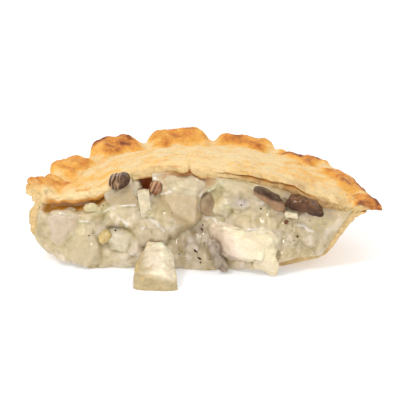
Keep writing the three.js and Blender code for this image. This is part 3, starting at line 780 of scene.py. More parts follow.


# ---- Filling ----

# Places in the sauce with a colour of their own, and two patches of painted shadow: x, z, half width, half
# height, colour, strength.
SAUCE_TINTS_AND_SHADOWS = [
    (-41, 6, 11, 7, (212, 198, 160), 0.6),
    (-50, 22, 6, 4, (222, 196, 140), 0.5),
    (-31.7, 14.7, 2.4, 2.2, (168, 158, 172), 0.8),
    (-36, 21, 7, 4, (212, 196, 138), 0.6),
    (-36.5, 14.5, 2.6, 3, (188, 164, 108), 0.7),
    (-35, 8, 2.4, 4, (206, 186, 134), 0.6),
    # painted shadow below the centre chicken's lower tip
    (-3.3, 11.5, 7.5, 5.5, (142, 120, 92), 0.8),
    (-0.4, 15.5, 1.4, 2.2, (120, 72, 54), 0.7),
    (4.4, 31, 4.6, 3.4, (200, 196, 152), 0.8),
    (14.2, 26.8, 3.2, 2.4, (182, 176, 186), 0.6),
    (10, 21, 6, 5, (212, 196, 166), 0.5),
    (30, 30, 16, 3, (178, 140, 100), 0.7),
    (37, 26, 11, 4, (122, 88, 54), 0.85),
    (29.8, 27, 1.6, 2.8, (112, 62, 40), 0.9),
    # painted shadow right of the right mushroom slice
    (45.4, 23.4, 4, 3.6, (146, 114, 80), 0.8),
    (-3, 5, 8, 4, (204, 188, 148), 0.5),
    (40, 14, 16, 10, (208, 188, 150), 0.7),
    (46, 10, 8, 6, (200, 178, 138), 0.6),
    (50, 20, 3, 7, (232, 202, 146), 0.6),
]


# Thin ridges where the sauce's skin has wrinkled, with a painted highlight along their crests: corners (x, z)
# one after the other.
WRINKLES = [
    [(-19.6, 20.2), (-17, 18.8), (-15.4, 17.2), (-14.4, 15.4)],
    [(-36, 20.6), (-34.6, 21.8), (-31, 23.1), (-24.8, 23.8)],
    [(-15, 28.2), (-12.7, 29.6), (-10.3, 31), (-9.1, 33), (-7.4, 33.5)],
    [(16.9, 17), (20, 17.5), (22.8, 17.3)],
    [(-22, 16.4), (-20.4, 17.3), (-18.6, 17.2)],
    [(-31, 19.2), (-28.6, 18.8), (-27.4, 17.4), (-27.8, 15.8)],
    [(-50, 27), (-46.5, 26.4), (-44, 24.4)],
    [(-45, 16.6), (-41.4, 17.8), (-39.6, 16.4)],
    [(2.4, 20.8), (4.6, 19.2), (5, 16.6), (6.4, 14.4)],
    [(34, 18.4), (37, 17.6), (39.4, 15.6)],
    [(1.0, 34.2), (0.2, 31), (-1.2, 26.8), (-0.9, 22.6)],
]
# Where a large piece lies right under the sauce's skin and keeps it smooth: x, z, half width, half height.
CALM = [
    (-29, 27, 7, 5.5), (-8, 26, 10, 9), (-51, 15, 7, 8), (-42.5, 7, 8, 6), (-18.5, 14, 7, 6),
    (-29.6, 11, 6, 5), (44, 17, 7, 8),
]
# Lumps and wrinkles are listed by square cells of this size. Every fifth lump is a large one.
CELL = 4
LUMP_COUNT = 430
LUMP_TINTS = [
    (232, 214, 178), (218, 190, 154), (210, 188, 144), (224, 208, 156), (200, 178, 156), (238, 222, 190),
]
# Rays that look for the front start here, and run towards the back.
RAY_START = -60


def seen_from_front(tree, x, z):
    """Where the front first meets a ray from before the cut, and which way it faces there."""
    return tree.ray_cast(Vector((x, RAY_START, z)), Vector((0, 1, 0)))[:2]


def cells_reached(places, margin):
    """The cells from the lowest to the highest of these places, and a margin beyond."""
    return range(int((min(places) - margin) // CELL), int((max(places) + margin) // CELL) + 1)


def list_by_cell(cells, xs, zs, margin, entry):
    """Lists an entry under every cell that it reaches into."""
    for column in cells_reached(xs, margin):
        for row in cells_reached(zs, margin):
            cells.setdefault((column, row), []).append(entry)


def scatter_lumps():
    """Small pieces under the sauce's skin, by cell: place, half width and half height, turn, how square they
    are, how far they stand out and their colour."""
    dice = random.Random(11)
    cells = {}
    for i in range(LUMP_COUNT):
        grain = i % 5 != 0
        x, z = dice.uniform(17 if grain else -60, 54), dice.uniform(0, 34)
        size = dice.uniform(0.5, 1.2) if grain else dice.uniform(1.4, 3.6)
        lump = (
            x, z, size, size * dice.uniform(0.6, 0.95), dice.uniform(0, math.pi), dice.choice((2, 2.6, 4)),
            size * dice.uniform(0.25, 0.45), srgb(*dice.choice(LUMP_TINTS)),
        )
        list_by_cell(cells, (x,), (z,), size, lump)
    return cells


def part_wrinkles():
    """The wrinkles' straight parts, by cell."""
    cells = {}
    for corners in WRINKLES:
        for (x0, z0), (x1, z1) in zip(corners, corners[1:]):
            list_by_cell(cells, (x0, x1), (z0, z1), 2, (x0, z0, x1, z1))
    return cells


LUMPS = scatter_lumps()
WRINKLE_PARTS = part_wrinkles()


def lump_at(x, z):
    """How far the lump at a place stands out there, and its colour."""
    best, shade = 0.0, None
    x, z = x + 0.5 * rough(x, 0, z, 2.4, 51), z + 0.5 * rough(x, 5, z, 2.4, 52)
    for lump in LUMPS.get((x // CELL, z // CELL), ()):
        middle_x, middle_z, half_width, half_height, turn, power, stand, tint = lump
        dx, dz = x - middle_x, z - middle_z
        u = abs(dx * math.cos(turn) + dz * math.sin(turn)) / half_width
        v = abs(dz * math.cos(turn) - dx * math.sin(turn)) / half_height
        far = u**power + v**power
        if far < 1 and stand * (1 - far) ** 0.7 > best:
            best, shade = stand * (1 - far) ** 0.7, tint
    return best, shade


def wrinkle_at(x, z):
    """1 on a wrinkle's crest, 0 away from it."""
    near = WRINKLE_PARTS.get((x // CELL, z // CELL))
    if not near:
        return 0.0
    x, z = x + 0.35 * rough(x, 0, z, 2.2, 53), z + 0.35 * rough(x, 5, z, 2.2, 54)
    return max(math.exp(-((from_line(x, z, *part)[1] / 0.42) ** 2)) for part in near)


def front_reach(form, x, z):
    """How far the sauce's front stands out: soft folds with creases between them, lumps and wrinkles."""
    folds = 1.8 * math.hypot(rough(x, 0, z, 7, 21), 0.25) + 0.5 * math.hypot(rough(x, 1, z, 2.9, 22), 0.2)
    relief = folds - 0.4 + lump_at(x, z)[0] - 0.9
    calm = max(math.exp(-(from_oval(x, z, *oval) ** 2)) for oval in CALM)
    return form.sauce_reach(x, z) * (1 - 0.3 * calm) + relief * (1 - 0.7 * calm) + 0.4 * wrinkle_at(x, z)


def sauce_tint(colours, x, z):
    """The sauce's colour, with the lumps, tinted places and painted shadows in it, and lighter and darker
    patches.
    """
    shade = tuple(colours.sauce)
    stands, lump = lump_at(x, z)
    if lump:
        shade = blend(shade, lump, 0.4 * ramp(stands, 0, 0.6))
    for *oval, other, strength in SAUCE_TINTS_AND_SHADOWS:
        far = from_oval(x, z, *oval)
        if far < 4:
            shade = blend(shade, srgb(*other), strength * math.exp(-far * 1.2))
    patch = rough(x, 0, z, 6, 56) + 0.4 * rough(x, 0, z, 2.2, 57)
    shade = blend(shade, srgb(204, 182, 128), 0.5 * ramp(patch, 0.1, 0.9))
    shade = blend(shade, srgb(244, 228, 204), 0.5 * ramp(-patch, 0.1, 0.9))
    light = 1 + 0.08 * rough(x, 0, z, 5, 24) + 0.05 * rough(x, 0, z, 1.6, 25)
    return tuple(min(1.0, v * light) for v in shade)


def fuller(a, b, fillet):
    """The larger of two reaches, with a fillet where they meet."""
    return max(a, b) + max(fillet - abs(a - b), 0) ** 2 / (4 * fillet)


class PIE_OT_filling(bpy.types.Operator):
    """Pours the cream sauce, which coats the pieces and has slumped out of the cut"""

    bl_idname = "pie.filling"
    bl_label = "Filling"

    COLUMNS, ROWS, LOOPS = 430, 150, 10

    def execute(self, context):
        form, colours = settings(context)
        coated = [(tree_of(context, name), film, srgb(*shade)) for name, film, shade in COATED]
        bare = tree_of(context, *BARE)
        bm = bmesh.new()
        bmesh.ops.create_grid(bm, x_segments=self.COLUMNS, y_segments=self.ROWS, size=0.5)
        tint = store_tint(bm)
        rim = [(v, v.co.x + 0.5, v.co.y + 0.5) for v in bm.verts if v.is_boundary]
        hollows = []
        for vert in bm.verts:
            place, shade, inside = self.front(form, colours, coated, bare, vert.co.x + 0.5, vert.co.y + 0.5)
            vert.co = place
            vert[tint] = (*shade, 1)
            if inside:
                hollows.append((vert, *inside))
        inside = [v for v in bm.verts if not v.is_boundary]
        bmesh.ops.smooth_vert(bm, verts=inside, factor=0.5, use_axis_y=True)
        # painted shade in the creases and painted highlights on the ridges, first small and then broad
        paint_crease_shade(bm, tint)
        paint_crease_shade(bm, tint, 160, 0.16, 0.06)
        # the steam pockets' painted shade goes on last, over the crease shade
        for vert, share, shade in hollows:
            vert[tint] = (*blend(vert[tint][:3], srgb(*shade), share), 1)
        self.close_behind(form, bm, rim)
        hand_over(context, bm, "cream_sauce", wet_material("cream sauce"), "cream_sauce", "filling")
        return {"FINISHED"}

    def along_cut(self, form, across):
        """The x that a share of the way from the left to the right stands for."""
        return mix(-form.wall_radius + 2, form.wall_radius - 3.5, across)

    def pocket(self, form, across):
        """How far the filling has sunk under a steam pocket, and the painted shade inside it."""
        at = self.along_cut(form, across)
        depth, shade = 0.0, None
        for middle, half_width, sunk, hollow_painted_shade in STEAM_POCKETS:
            here = sunk * max(0.0, 1 - ((at - middle) / half_width) ** 2)
            if here > depth:
                depth, shade = here, hollow_painted_shade
        return depth, shade

    def front(self, form, colours, coated, bare, across, up):
        """A place on the front, its colour, and how much of the painted shade inside a steam pocket it has.
        """
        wall = form.shell_thickness - 0.4

        def edge(side, z):
            here = wall + 1.4 if side > 0 else wall - 2.8 * ramp(15 - z, 0, 7)
            return form.slumped(side * (form.wall_radius_at(z) - here), 0, z)[0]

        at = self.along_cut(form, across)
        high = form.lid_under_at_cut(max(-56.5, min(56.5, at))) + 1.0 - 3.4 * ramp(-at, 51, 57)
        low = 5.8 * ramp(across, 0.68, 0.9) + 3 * (1 - ramp(across, 0, 0.12))
        pocket, hollow_painted_shade = self.pocket(form, across)
        open_here = min(1, pocket)
        z = mix(low, high, up)
        x = mix(edge(-1, z), edge(1, z), across)
        z -= pocket * ramp(up, 0.55, 0.9) * (1 - 0.8 * ramp(up, 0.93, 1))
        # the front turns in under the lid, earlier where a pocket is open, and at both ends
        top_round = ramp(up, mix(0.93, 0.82, open_here), mix(1, 0.94, open_here))
        at_lid = 0.5 - 0.9 * wobble(x * 0.13, 0, z * 0.05, 2)
        sauce = mix(front_reach(form, x, z), mix(at_lid, -1.2 - 0.7 * pocket, open_here), top_round)
        sauce = mix(at_lid, sauce, ramp(min(across, 1 - across), 0, 0.03))
        # it coats some pieces, and climbs a little on to the bare ones
        shade = sauce_tint(colours, x, z)
        reach = sauce
        for tree, film, own in coated:
            hit = seen_from_front(tree, x, z)[0]
            if hit is None:
                continue
            cover = -hit.y + film + 0.2 * humps(x, 0, z, 3.2, 26)
            cover = mix(cover, min(cover, sauce), top_round)
            shade = blend(shade, own, 0.75 * ramp(cover - sauce, -1.2, 0.8))
            reach = fuller(reach, cover + 0.3 * wrinkle_at(x, z), 2.2)
        # painted highlight: near-white along the wrinkles' crests
        glint = wrinkle_at(x, z) * ramp(rough(x, 0, z, 3, 55), -0.5, 0.2)
        shade = blend(shade, srgb(255, 250, 238), 0.6 * glint)
        place = Vector((x, -reach, z))
        nearest = bare.find_nearest(place, 1.5)
        if nearest[0] is not None:
            place.y -= 0.5 * (1 - nearest[3] / 1.5) ** 2
        inside = (open_here * ramp(top_round, 0.3, 0.75), hollow_painted_shade) if hollow_painted_shade else None
        return place, shade, inside

    def close_behind(self, form, bm, rim):
        """Carries the front's outline back along the shell's inner wall and closes it."""
        edges = [e for e in bm.edges if e.is_boundary]
        places = {vert: (across, up) for vert, across, up in rim}
        for loop in range(1, self.LOOPS + 1):
            made = bmesh.ops.extrude_edge_only(bm, edges=edges)
            edges = [e for e in made["geom"] if isinstance(e, bmesh.types.BMEdge)]
            fresh = [v for v in made["geom"] if isinstance(v, bmesh.types.BMVert)]
            below = {}
            for vert in fresh:
                old = next(e.other_vert(vert) for e in vert.link_edges if e.other_vert(vert) in places)
                below[vert] = places[old]
            for vert in fresh:
                vert.co = self.behind(form, *below[vert], loop / self.LOOPS)
            places = below
        bmesh.ops.edgeloop_fill(bm, edges=edges)

    def behind(self, form, across, up, share):
        """A place on the sauce's far side, which follows the shell's inner wall and the lid."""
        wall = form.shell_thickness + 0.5
        turn = math.radians(2 + 84 * share)
        floor = form.shell_thickness + GAP
        side = form.wall_radius_at(mix(floor, form.rim_height - 4, up)) - wall
        x, y = mix(-side, side, across) * math.cos(turn), side * math.sin(turn)
        high = form.lid_under(x, y, form.crimp(math.degrees(math.atan2(y, x)))) - 0.5
        x, y, z = form.slumped(x, y, mix(floor, high, up))
        return Vector((x, y, max(floor, z - 0.3 * self.pocket(form, across)[0] * math.exp(-y / 7) * up)))


# ---- Pieces in the filling ----

# Each chicken piece: its middle (x, how far its middle stands out, z), half its depth, its outline's reach
# from its middle every 30 degrees from +X towards +Z, how rounded it is, its colour, and the flat faces of
# its front (how far out each is at the middle, and how that changes per mm to the right and up).
CHICKEN = {
    "chicken_centre": (
        (-8, -1, 26), 6.5, (7.7, 10.5, 9.3, 8.0, 9.6, 9.6, 9.1, 8.6, 8.5, 12.6, 10.5, 8.2), 0.4,
        (216, 198, 158),
        [(6, 0, -0.06), (10.0, 0.42, -0.7), (11.5, -1, 0), (9.2, 0.3, 0.55), (9.5, 0.9, 0.2)],
    ),
    "chicken_flap_low": (
        (23.6, 8.6, 6), 2.0, (3.6, 3.8, 5.6, 5.8, 4.0, 3.8, 4.8, 5.4, 4.2, 4.4, 6.4, 5.0), 0.4,
        (242, 224, 184),
        [(2.4, -0.1, -0.15), (3.4, -0.6, 0), (3.2, 0.3, 0.5)],
    ),
    "chicken_low_right": (
        (16, 3.4, 10.8), 7.5, (11.6, 11.0, 8.6, 7.0, 8.2, 14.6, 12.6, 10.6, 9.6, 8.4, 7.8, 8.8), 0.38,
        (255, 235, 194),
        [(7.0, -0.08, -0.5), (10.5, 0.25, 1.0), (13.5, 1, -0.5), (14, -0.95, 0.1), (8.2, 0.4, 0)],
    ),
    "chicken_left": (
        (-51.5, -1.8, 15), 5.4, (7.4, 7.6, 6.2, 5.2, 5.6, 6.4, 6.2, 6.4, 8.0, 8.6, 6.2, 5.8), 0.42,
        (220, 204, 178),
        [(5, 0.05, -0.1), (8.2, 0, -0.8), (6.4, -0.5, 0.25), (7.5, 0.8, 0)],
    ),
    "chicken_low_left": (
        (-42.3, 1.6, 6.6), 6.4, (7.0, 5.6, 6.2, 7.6, 6.8, 7.2, 8.2, 7.4, 6.2, 5.8, 6.4, 8.4), 0.45,
        (214, 199, 163),
        [(6, 0.1, -0.3), (8.2, -0.7, 0.1), (9.4, 0.9, -0.5)],
    ),
    "chicken_slab_high": (
        (-29, -2.2, 26.5), 5.2, (6.4, 7.1, 7.0, 4.2, 3.8, 5.2, 7.2, 6.5, 5.2, 4.7, 5.4, 7.0), 0.38,
        (200, 184, 154),
        [(4.6, 0, -0.05), (6.2, 0.1, -0.8), (9, -0.9, 0), (7, 0, 0.8)],
    ),
    "chicken_middle": (
        (-18.5, 1.6, 14.2), 6.0, (6.5, 6.6, 5.6, 5.2, 5.8, 6.5, 6.3, 6.2, 5.6, 5.0, 5.6, 6.6), 0.5,
        (216, 197, 162),
        [(5.6, 0, 0.05), (7.6, -0.55, -0.5), (8, 0.7, -0.1)],
    ),
    "chicken_low_middle": (
        (-29.6, 1.9, 10.8), 5.4, (5.6, 5.2, 4.4, 4.2, 4.4, 5.2, 5.8, 5.4, 4.6, 4.2, 4.6, 5.2), 0.6,
        (220, 205, 170),
        [(5, 0, -0.2), (6.6, -0.6, 0), (6.6, 0.5, 0.4)],
    ),
}
# Pieces that the sauce covers with a film, its thickness, and the colour that shows through it.
COATED = [
    ("chicken_centre", 0.15, (210, 184, 140)),
    ("chicken_left", 0.25, (216, 192, 162)),
    ("chicken_low_left", 0.35, (210, 190, 146)),
    ("chicken_slab_high", 0.2, (190, 164, 118)),
    ("chicken_middle", 0.3, (214, 194, 158)),
    ("chicken_low_middle", 0.2, (224, 210, 174)),
]
# Pieces that stand bare in the sauce, which only climbs up at their edges.
BARE = ["chicken_flap_low", "chicken_low_right", "mushroom_", "leek_", "onion_"]

# Mushroom pieces: middle, half depth, outline, roundness, faces, dark share, the direction of their ribs in
# degrees and how wide a rib is (0: smooth), how much sauce lies on them, and their pale and dark colours.
MUSHROOM = {
    "mushroom_cap_left": (
        (-30.8, 1.8, 32.4), 3.4, (4.1, 4.2, 3.3, 2.3, 2.6, 3.3, 3.6, 3.5, 3.2, 2.8, 2.7, 3.2), 0.45,
        [(3.2, 0, 0), (3.6, -0.35, 0.1)], 0.56, -8, 1.3, 0.0, (192, 152, 110), (82, 50, 30),
    ),
    "mushroom_gills_middle": (
        (-17.3, 2.0, 30.8), 2.4, (2.4, 2.6, 2.4, 2.3, 2.2, 2.2, 2.2, 2.4, 2.6, 2.8, 2.6, 2.4), 0.6,
        [(2.4, 0, 0), (2.6, 0.4, -0.2)], 0.3, -28, 1.5, 0.3, (216, 166, 122), (116, 56, 26),
    ),
    "mushroom_piece_centre": (
        (1.8, 2.0, 25), 3.0, (2.7, 2.6, 3.0, 4.4, 4.2, 3.2, 2.8, 3.1, 3.9, 4.8, 4.4, 3.4), 0.5,
        [(3.0, -0.1, 0.05), (3.8, -0.7, 0)], 0.3, 0, 0, 0.5, (186, 156, 116), (84, 54, 32),
    ),
    "mushroom_strip_low": (
        (5.6, 8.0, 7.4), 2.4, (1.5, 1.6, 2.2, 5.0, 6.8, 2.4, 1.5, 1.6, 2.2, 5.2, 7.2, 2.4), 0.6,
        [(2.2, -0.3, 0.04), (3.2, -0.8, 0)], 0.45, 68, 0, 0.3, (216, 198, 172), (100, 76, 60),
    ),
    "mushroom_slice_right": (
        (36.6, 2.4, 25.4), 3.0, (4.8, 2.8, 2.2, 2.3, 3.0, 6.2, 6.2, 3.2, 2.2, 2.2, 3.2, 7.6), 0.3,
        [(3.0, 0.02, -0.5), (3.0, 0, 0.35), (4.2, -0.3, 0.5)], 0.8, 0, 0, 0.0, (144, 98, 60), (70, 38, 16),
    ),
    "mushroom_slice_middle": (
        (24.8, 2.4, 27.4), 2.8, (3.4, 3.0, 2.4, 2.6, 4.1, 7.6, 3.4, 2.0, 2.0, 2.8, 5.0, 6.0), 0.4,
        [(3.0, 0, 0.15), (4.2, 0.3, 0.7), (3.2, 0, -0.4)], 0.6, 0, 0, 0.2, (176, 136, 98), (66, 34, 14),
    ),
}
# Leek and onion: place, size, turn in degrees, how rounded and how uneven, and the seed. The first piece of
# leek is cooked to a darker yellow.
LEEK = [
    ("leek_piece_left", (-35.9, 5.7, 12), (4.8, 3.6, 3.0), (20, -34, 10), 0.7, 0.6, 6),
    ("leek_piece_high", (-40.3, 2.3, 21.6), (6.4, 3.6, 2.9), (0, 8, 0), 0.85, 0.3, 7),
    ("leek_piece_centre", (9, 3.2, 25), (4, 3, 3), (0, -20, 0), 0.85, 0.3, 2),
]
DARKER_LEEK = {"leek_piece_left": srgb(214, 186, 118)}
ONION = [
    ("onion_chip_right", (32, 4.6, 22.4), (4.8, 3, 2.2), (0, 4, 0), 0.4, 0.12, 4),
    ("onion_strip_middle", (-20.9, 3.0, 24.2), (4.4, 3.6, 10.4), (4, -10, 0), 0.22, 0.2, 9),
]


def morsel(spot, size, turn, rounding, uneven, seed, cuts):
    """A cut and boiled piece: a block with rounded corners and uneven faces."""
    bm = grid_block(cuts, cuts, cuts)
    x, out, z = spot
    turned = Euler([math.radians(a) for a in turn], "XYZ").to_matrix().to_4x4()
    place = Matrix.Translation((x, -out, z)) @ turned
    size = Vector(size)
    for vert in bm.verts:
        point = vert.co - Vector((0.5, 0.5, 0.5))
        point = point.lerp(point.normalized() * 0.56, rounding) * size
        outward = point.normalized()
        x, y, z = point
        point += outward * uneven * wobble(x * 0.45, y * 0.45, z * 0.45, seed)
        point += outward * (0.4 * rough(x, y, z, 4, seed) + 0.2 * rough(x, y, z, 1.6, seed + 1))
        point += outward * 0.1 * rough(x, y * 2, z, 0.8, seed + 2)
        vert.co = place @ point
    return bm


def outline_at(radii, angle):
    """The outline's radius at an angle, smooth between the given radii."""
    step = 2 * math.pi / len(radii)
    at = (angle % (2 * math.pi)) / step
    i = int(at)
    a, b, c, d = (radii[(i + k) % len(radii)] for k in (-1, 0, 1, 2))
    t = at - i
    return b + 0.5 * t * (c - a + t * (2 * a - 5 * b + 4 * c - d + t * (3 * (b - c) + d - a)))


def along_grain(x, y, z, size, seed):
    """Fine unevenness that is drawn out along the meat's fibres."""
    return rough(x * 0.35 + z * 0.5, y, z * 1.2 - x * 0.2, size, seed)


def chunk(spot, depth, radii, rounding, faces, seed, cuts, relief, fibre):
    """A cooked piece with the given outline, whose front is cut into flat faces."""
    bm = grid_block(cuts, cuts, cuts)
    x0, out, z0 = spot
    for vert in bm.verts:
        ball = (vert.co - Vector((0.5, 0.5, 0.5))).normalized()
        angle = math.atan2(ball.z, ball.x)
        reach = outline_at(radii, angle) * math.hypot(ball.x, ball.z) ** rounding
        dx, dz = reach * math.cos(angle), reach * math.sin(angle)
        front = min(height + right * dx + up * dz for height, right, up in faces)
        thick = max(0.4 * depth, front) if ball.y < 0 else depth
        dy = math.copysign(abs(ball.y) ** rounding, ball.y) * thick
        point = Vector((x0 + dx, -out + dy, z0 + dz))
        lumps = 0.6 * humps(*point, 5.5, seed) + 0.2 * humps(*point, 2.2, seed + 1) - 0.3
        point += ball * (relief * lumps + fibre * along_grain(*point, 0.9, seed + 2))
        point.z = max(0.02, point.z)
        vert.co = point
    relax(bm, 0.4)
    return bm


def tree_of(context, *names):
    """The shown pieces that stand for these nodes, as one tree in millimetres, with the cut at y = 0."""
    form, _colours = settings(context)
    joined = bmesh.new()
    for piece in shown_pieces():
        if any(node.startswith(names) for node in piece.get("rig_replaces", [])):
            joined.from_mesh(piece.data)
    to_pie = Matrix.Scale(1 / MM, 4) @ Matrix.Translation((0, form.cut_to_origin * MM, 0))
    bmesh.ops.transform(joined, matrix=to_pie, verts=joined.verts)
    tree = BVHTree.FromBMesh(joined)
    joined.free()
    return tree


def coat(form, colours, bm, shade, wet, seed):
    """Colours a piece, and lets sauce cover it where it sinks into the sauce and in patches."""
    tint = store_tint(bm)
    for vert in bm.verts:
        x, y, z = vert.co
        own = shade(x, y, z) if callable(shade) else shade
        light = layered(x, y, z, [(1, 3.5, seed + 30), (0.6, 1.2, seed + 31)])
        light = 1 + 0.12 * (light + 0.6 * along_grain(x, y, z, 1.1, seed + 34))
        own = tuple(min(1.0, v * light) for v in own)
        sunk = ramp(y + form.sauce_reach(x, z), -2.4, 0.4)
        patch = 0.35 * ramp(rough(x, y, z, 4, seed + 33), 0.0, 0.4)
        vert[tint] = (*blend(own, sauce_tint(colours, x, z), wet * max(sunk, patch)), 1)
    # painted shade in the piece's creases and painted highlights on its ridges
    paint_crease_shade(bm, tint, 8)


class PIE_OT_chicken(bpy.types.Operator):
    """Places the chicken pieces, one of which has slid out onto the table"""

    bl_idname = "pie.chicken"
    bl_label = "Chicken"

    CUTS = 34
    # The piece whose fibres show because it is torn.
    TORN = "chicken_low_right"
    # The piece that has slid out: how far its front and back stand before the cut, and its height there.
    FRONT, BACK, FRONT_HEIGHT, BACK_HEIGHT = 27, 8.4, 6.6, 12.6
    # Yellow seams on it: from (x, y), to (x, y), half width.
    SEAMS = [
        (-21.6, -10.6, -18.2, -11.6, 0.4),
        (-21.4, -24.6, -17.0, -22.6, 0.45),
        (-22.2, -11.5, -22.4, -24, 0.45),
        (-21.2, -26.6, -20.2, -26.6, 0.7),
    ]

    def execute(self, context):
        form, colours = settings(context)
        material = wet_material("chicken", 0.4, 0.003, 0.3, 0.9, 0.3)
        for seed, (name, (spot, depth, radii, rounding, shade, faces)) in enumerate(CHICKEN.items(), 1):
            torn = name == self.TORN
            bm = chunk(spot, depth, radii, rounding, faces, seed, self.CUTS, 1.0, 0.28 if torn else 0.12)
            coat(form, colours, bm, self.torn_shade if torn else srgb(*shade), 0.7, seed)
            hand_over(context, bm, name.replace("chicken", "chicken_chunk"), material, "chicken", name)
        bm = self.slid_piece()
        coat(form, colours, bm, self.slid_shade, 0.2, 3)
        hand_over(context, bm, "chicken_chunk_slid_out", material, "chicken", "chicken_slid_out")
        return {"FINISHED"}

    def torn_shade(self, x, y, z):
        """Greyish pink at the left, bright cream at the right, and tan below as painted shade on its
        underside.
        """
        cream = srgb(*CHICKEN[self.TORN][4])
        shade = blend(srgb(226, 200, 172), cream, ramp(x + 0.5 * (z - 10), 7, 18))
        # painted shade: tan towards the underside
        return blend(srgb(196, 174, 128), shade, ramp(z + 0.25 * (x - 16), 2.5, 5.5))

    def slid_shade(self, x, y, z):
        """Cream above and at its right, tan at its front and left, streaked with pink and yellow."""
        share = ramp(z - 0.22 * (26.6 + y) + 0.3 * (x + 15), 3.4, 6.8)
        shade = blend(srgb(198, 175, 126), srgb(255, 238, 206), share * (0.7 + 0.3 * ramp(x, -20, -15)))
        pink = bump(x, -16.5, 2) * ramp(-14 - y, -3, 3) * (1 - ramp(-y, 22, 25))
        shade = blend(shade, srgb(236, 212, 188), 0.4 * pink)
        for *line, width in self.SEAMS:
            far = from_line(x, y, *line)[1] / width
            seam = 1 - ramp(far + 0.15 * rough(x, y, z, 1.5, 47), 0.5, 1.3)
            shade = blend(shade, srgb(214, 180, 104), 0.65 * seam * ramp(z, 3, 4.6))
        return shade

    def slid_piece(self):
        """The wedge on the table, higher and narrower at the pie."""
        bm = grid_block(44, 44, 26)
        for vert in bm.verts:
            u, v, w = vert.co.x - 0.5, vert.co.y, vert.co.z
            sides, ends = 2 * abs(u), 2 * abs(v - 0.5)
            left, right = -23.8 + 0.6 * v, mix(-6.8, -11.2, v)
            # highest right of its middle at the back, and falling off to the left
            height = mix(self.FRONT_HEIGHT, self.BACK_HEIGHT, v)
            height *= 1 - 0.42 * ramp(-u, 0.2, 0.46) * v - mix(0.36, 0.1, v) * ramp(u, 0.18, 0.5)
            round_edge = 1 - 0.1 * sides**6 - 0.06 * ends**8
            px = mix(left, right, 0.5 + u * (1 - 0.06 * w - 0.06 * ends**6))
            py = mix(-self.FRONT, -self.BACK, v) + 1.4 * w * (1 - v) + 1.6 * sides**5 * (1 - v)
            pz = w * height * round_edge
            lump = (0.3 * rough(px, py, pz, 6, 41) + 0.16 * rough(px, py, pz, 2, 42)) * ramp(w, -0.3, 0.25)
            vert.co = (px + 2 * u * lump, py - 0.8 * lump * (1 - v), max(0.02, pz + lump * w))
        return bm


class PIE_OT_mushrooms(bpy.types.Operator):
    """Places the mushroom caps, slices and strips"""

    bl_idname = "pie.mushrooms"
    bl_label = "Mushrooms"

    CUTS = 26

    def execute(self, context):
        form, colours = settings(context)
        material = wet_material("mushroom", 0.4, 0.0012, 0.1, 0.6, 0.8, 0.5, 0.15)
        for seed, (name, entry) in enumerate(MUSHROOM.items(), 60):
            spot, depth, radii, rounding, faces, dark, turn, rib, wet, pale_shade, dark_shade = entry
            shrivelled = name == "mushroom_slice_right"
            relief, fibre = (1.1, 0.25) if shrivelled else (0.3, 0.05)
            bm = chunk(spot, depth, radii, rounding, faces, seed, self.CUTS, relief, fibre)
            across = Vector((math.cos(math.radians(turn)), 0, math.sin(math.radians(turn))))
            middle = Vector((spot[0], -spot[1], spot[2]))

            def ribs(x, z, along):
                bend = 0.5 * rough(x, 0, z, 3, seed)
                return math.sin(2 * math.pi * (along + bend) / rib) * ramp(-along, -1.0, 0.0)

            def shade(x, y, z):
                offset = Vector((x, y, z)) - middle
                along = offset.dot(across)
                share = 1 - dark + 0.3 * rough(x, y, z, 1.4, seed)
                if rib:
                    share += 0.6 * ribs(x, z, along) - 0.4 * ramp(along, 0, 1.0)
                if name == "mushroom_slice_middle":
                    share = 1.0 - ramp(offset.z + 0.36 * offset.x, 0.3, 1.3)
                    share += 0.2 * rough(x, y, z, 1.4, seed)
                # painted sheen: the shrivelled slice is lighter towards its top; it is also finely speckled
                if shrivelled:
                    share += 0.35 * ramp(offset.z + 0.3 * offset.x, 0.2, 1.6)
                    share += 0.3 * rough(x, y, z, 0.7, seed + 1)
                # painted shade: the centre piece darkens at its top left, under a shaded gap
                if name == "mushroom_piece_centre":
                    share = 0.85 - ramp(offset.z - 0.8 * offset.x, 3.6, 5.2)
                    share += 0.25 * rough(x, y, z, 2.4, seed)
                return blend(srgb(*dark_shade), srgb(*pale_shade), min(1.0, max(0.0, share)))

            if rib:
                for vert in bm.verts:
                    along = (vert.co - middle).dot(across)
                    vert.co.y -= 0.35 * ribs(vert.co.x, vert.co.z, along)
            coat(form, colours, bm, shade, wet, seed)
            hand_over(context, bm, name.replace("mushroom", "mushroom_bit"), material, "mushroom", name)
        return {"FINISHED"}


class PIE_OT_vegetables(bpy.types.Operator):
    """Places the leek and onion pieces"""

    bl_idname = "pie.vegetables"
    bl_label = "Leek and onion"

    CUTS = 16

    def execute(self, context):
        form, colours = settings(context)
        for slot, pieces in (("leek", LEEK), ("onion", ONION)):
            material = wet_material(slot, 0.3, 0.003, 0.5, 0.9, 0.15)
            for name, *measures, seed in pieces:
                bm = morsel(*measures, seed, self.CUTS)
                shade = DARKER_LEEK.get(name, tuple(getattr(colours, slot)))
                coat(form, colours, bm, shade, 0.85, seed)
                hand_over(context, bm, name.replace(slot, slot + "_bit"), material, slot, name)
        return {"FINISHED"}


# ---- Seasoning and crumbs ----

# Pepper specks that show clearly: x, z, size and how drawn out they are. More are strewn about.
PEPPER = [
    (-41.3, 12.6, 0.6, 1), (-36.6, 23, 0.5, 1), (-11, 22.2, 0.5, 1), (-8.4, 6.4, 0.5, 1),
    (-2.3, 8.6, 0.9, 2.6), (-1, 6, 0.8, 2.4), (-0.6, 4.4, 0.6, 2.4), (20.8, 23.6, 0.7, 1),
    (34.2, 13.6, 0.9, 1), (33, 12.4, 0.5, 1), (13.8, 25.6, 0.7, 1), (-31.8, 14.4, 0.8, 1),
]
# Browned bits of onion and mushroom, in the same way.
BROWNED = [(30.2, 19.2, 1.8, 1.5), (-0.4, 15.2, 0.7, 2), (-0.2, 17, 0.6, 2)]


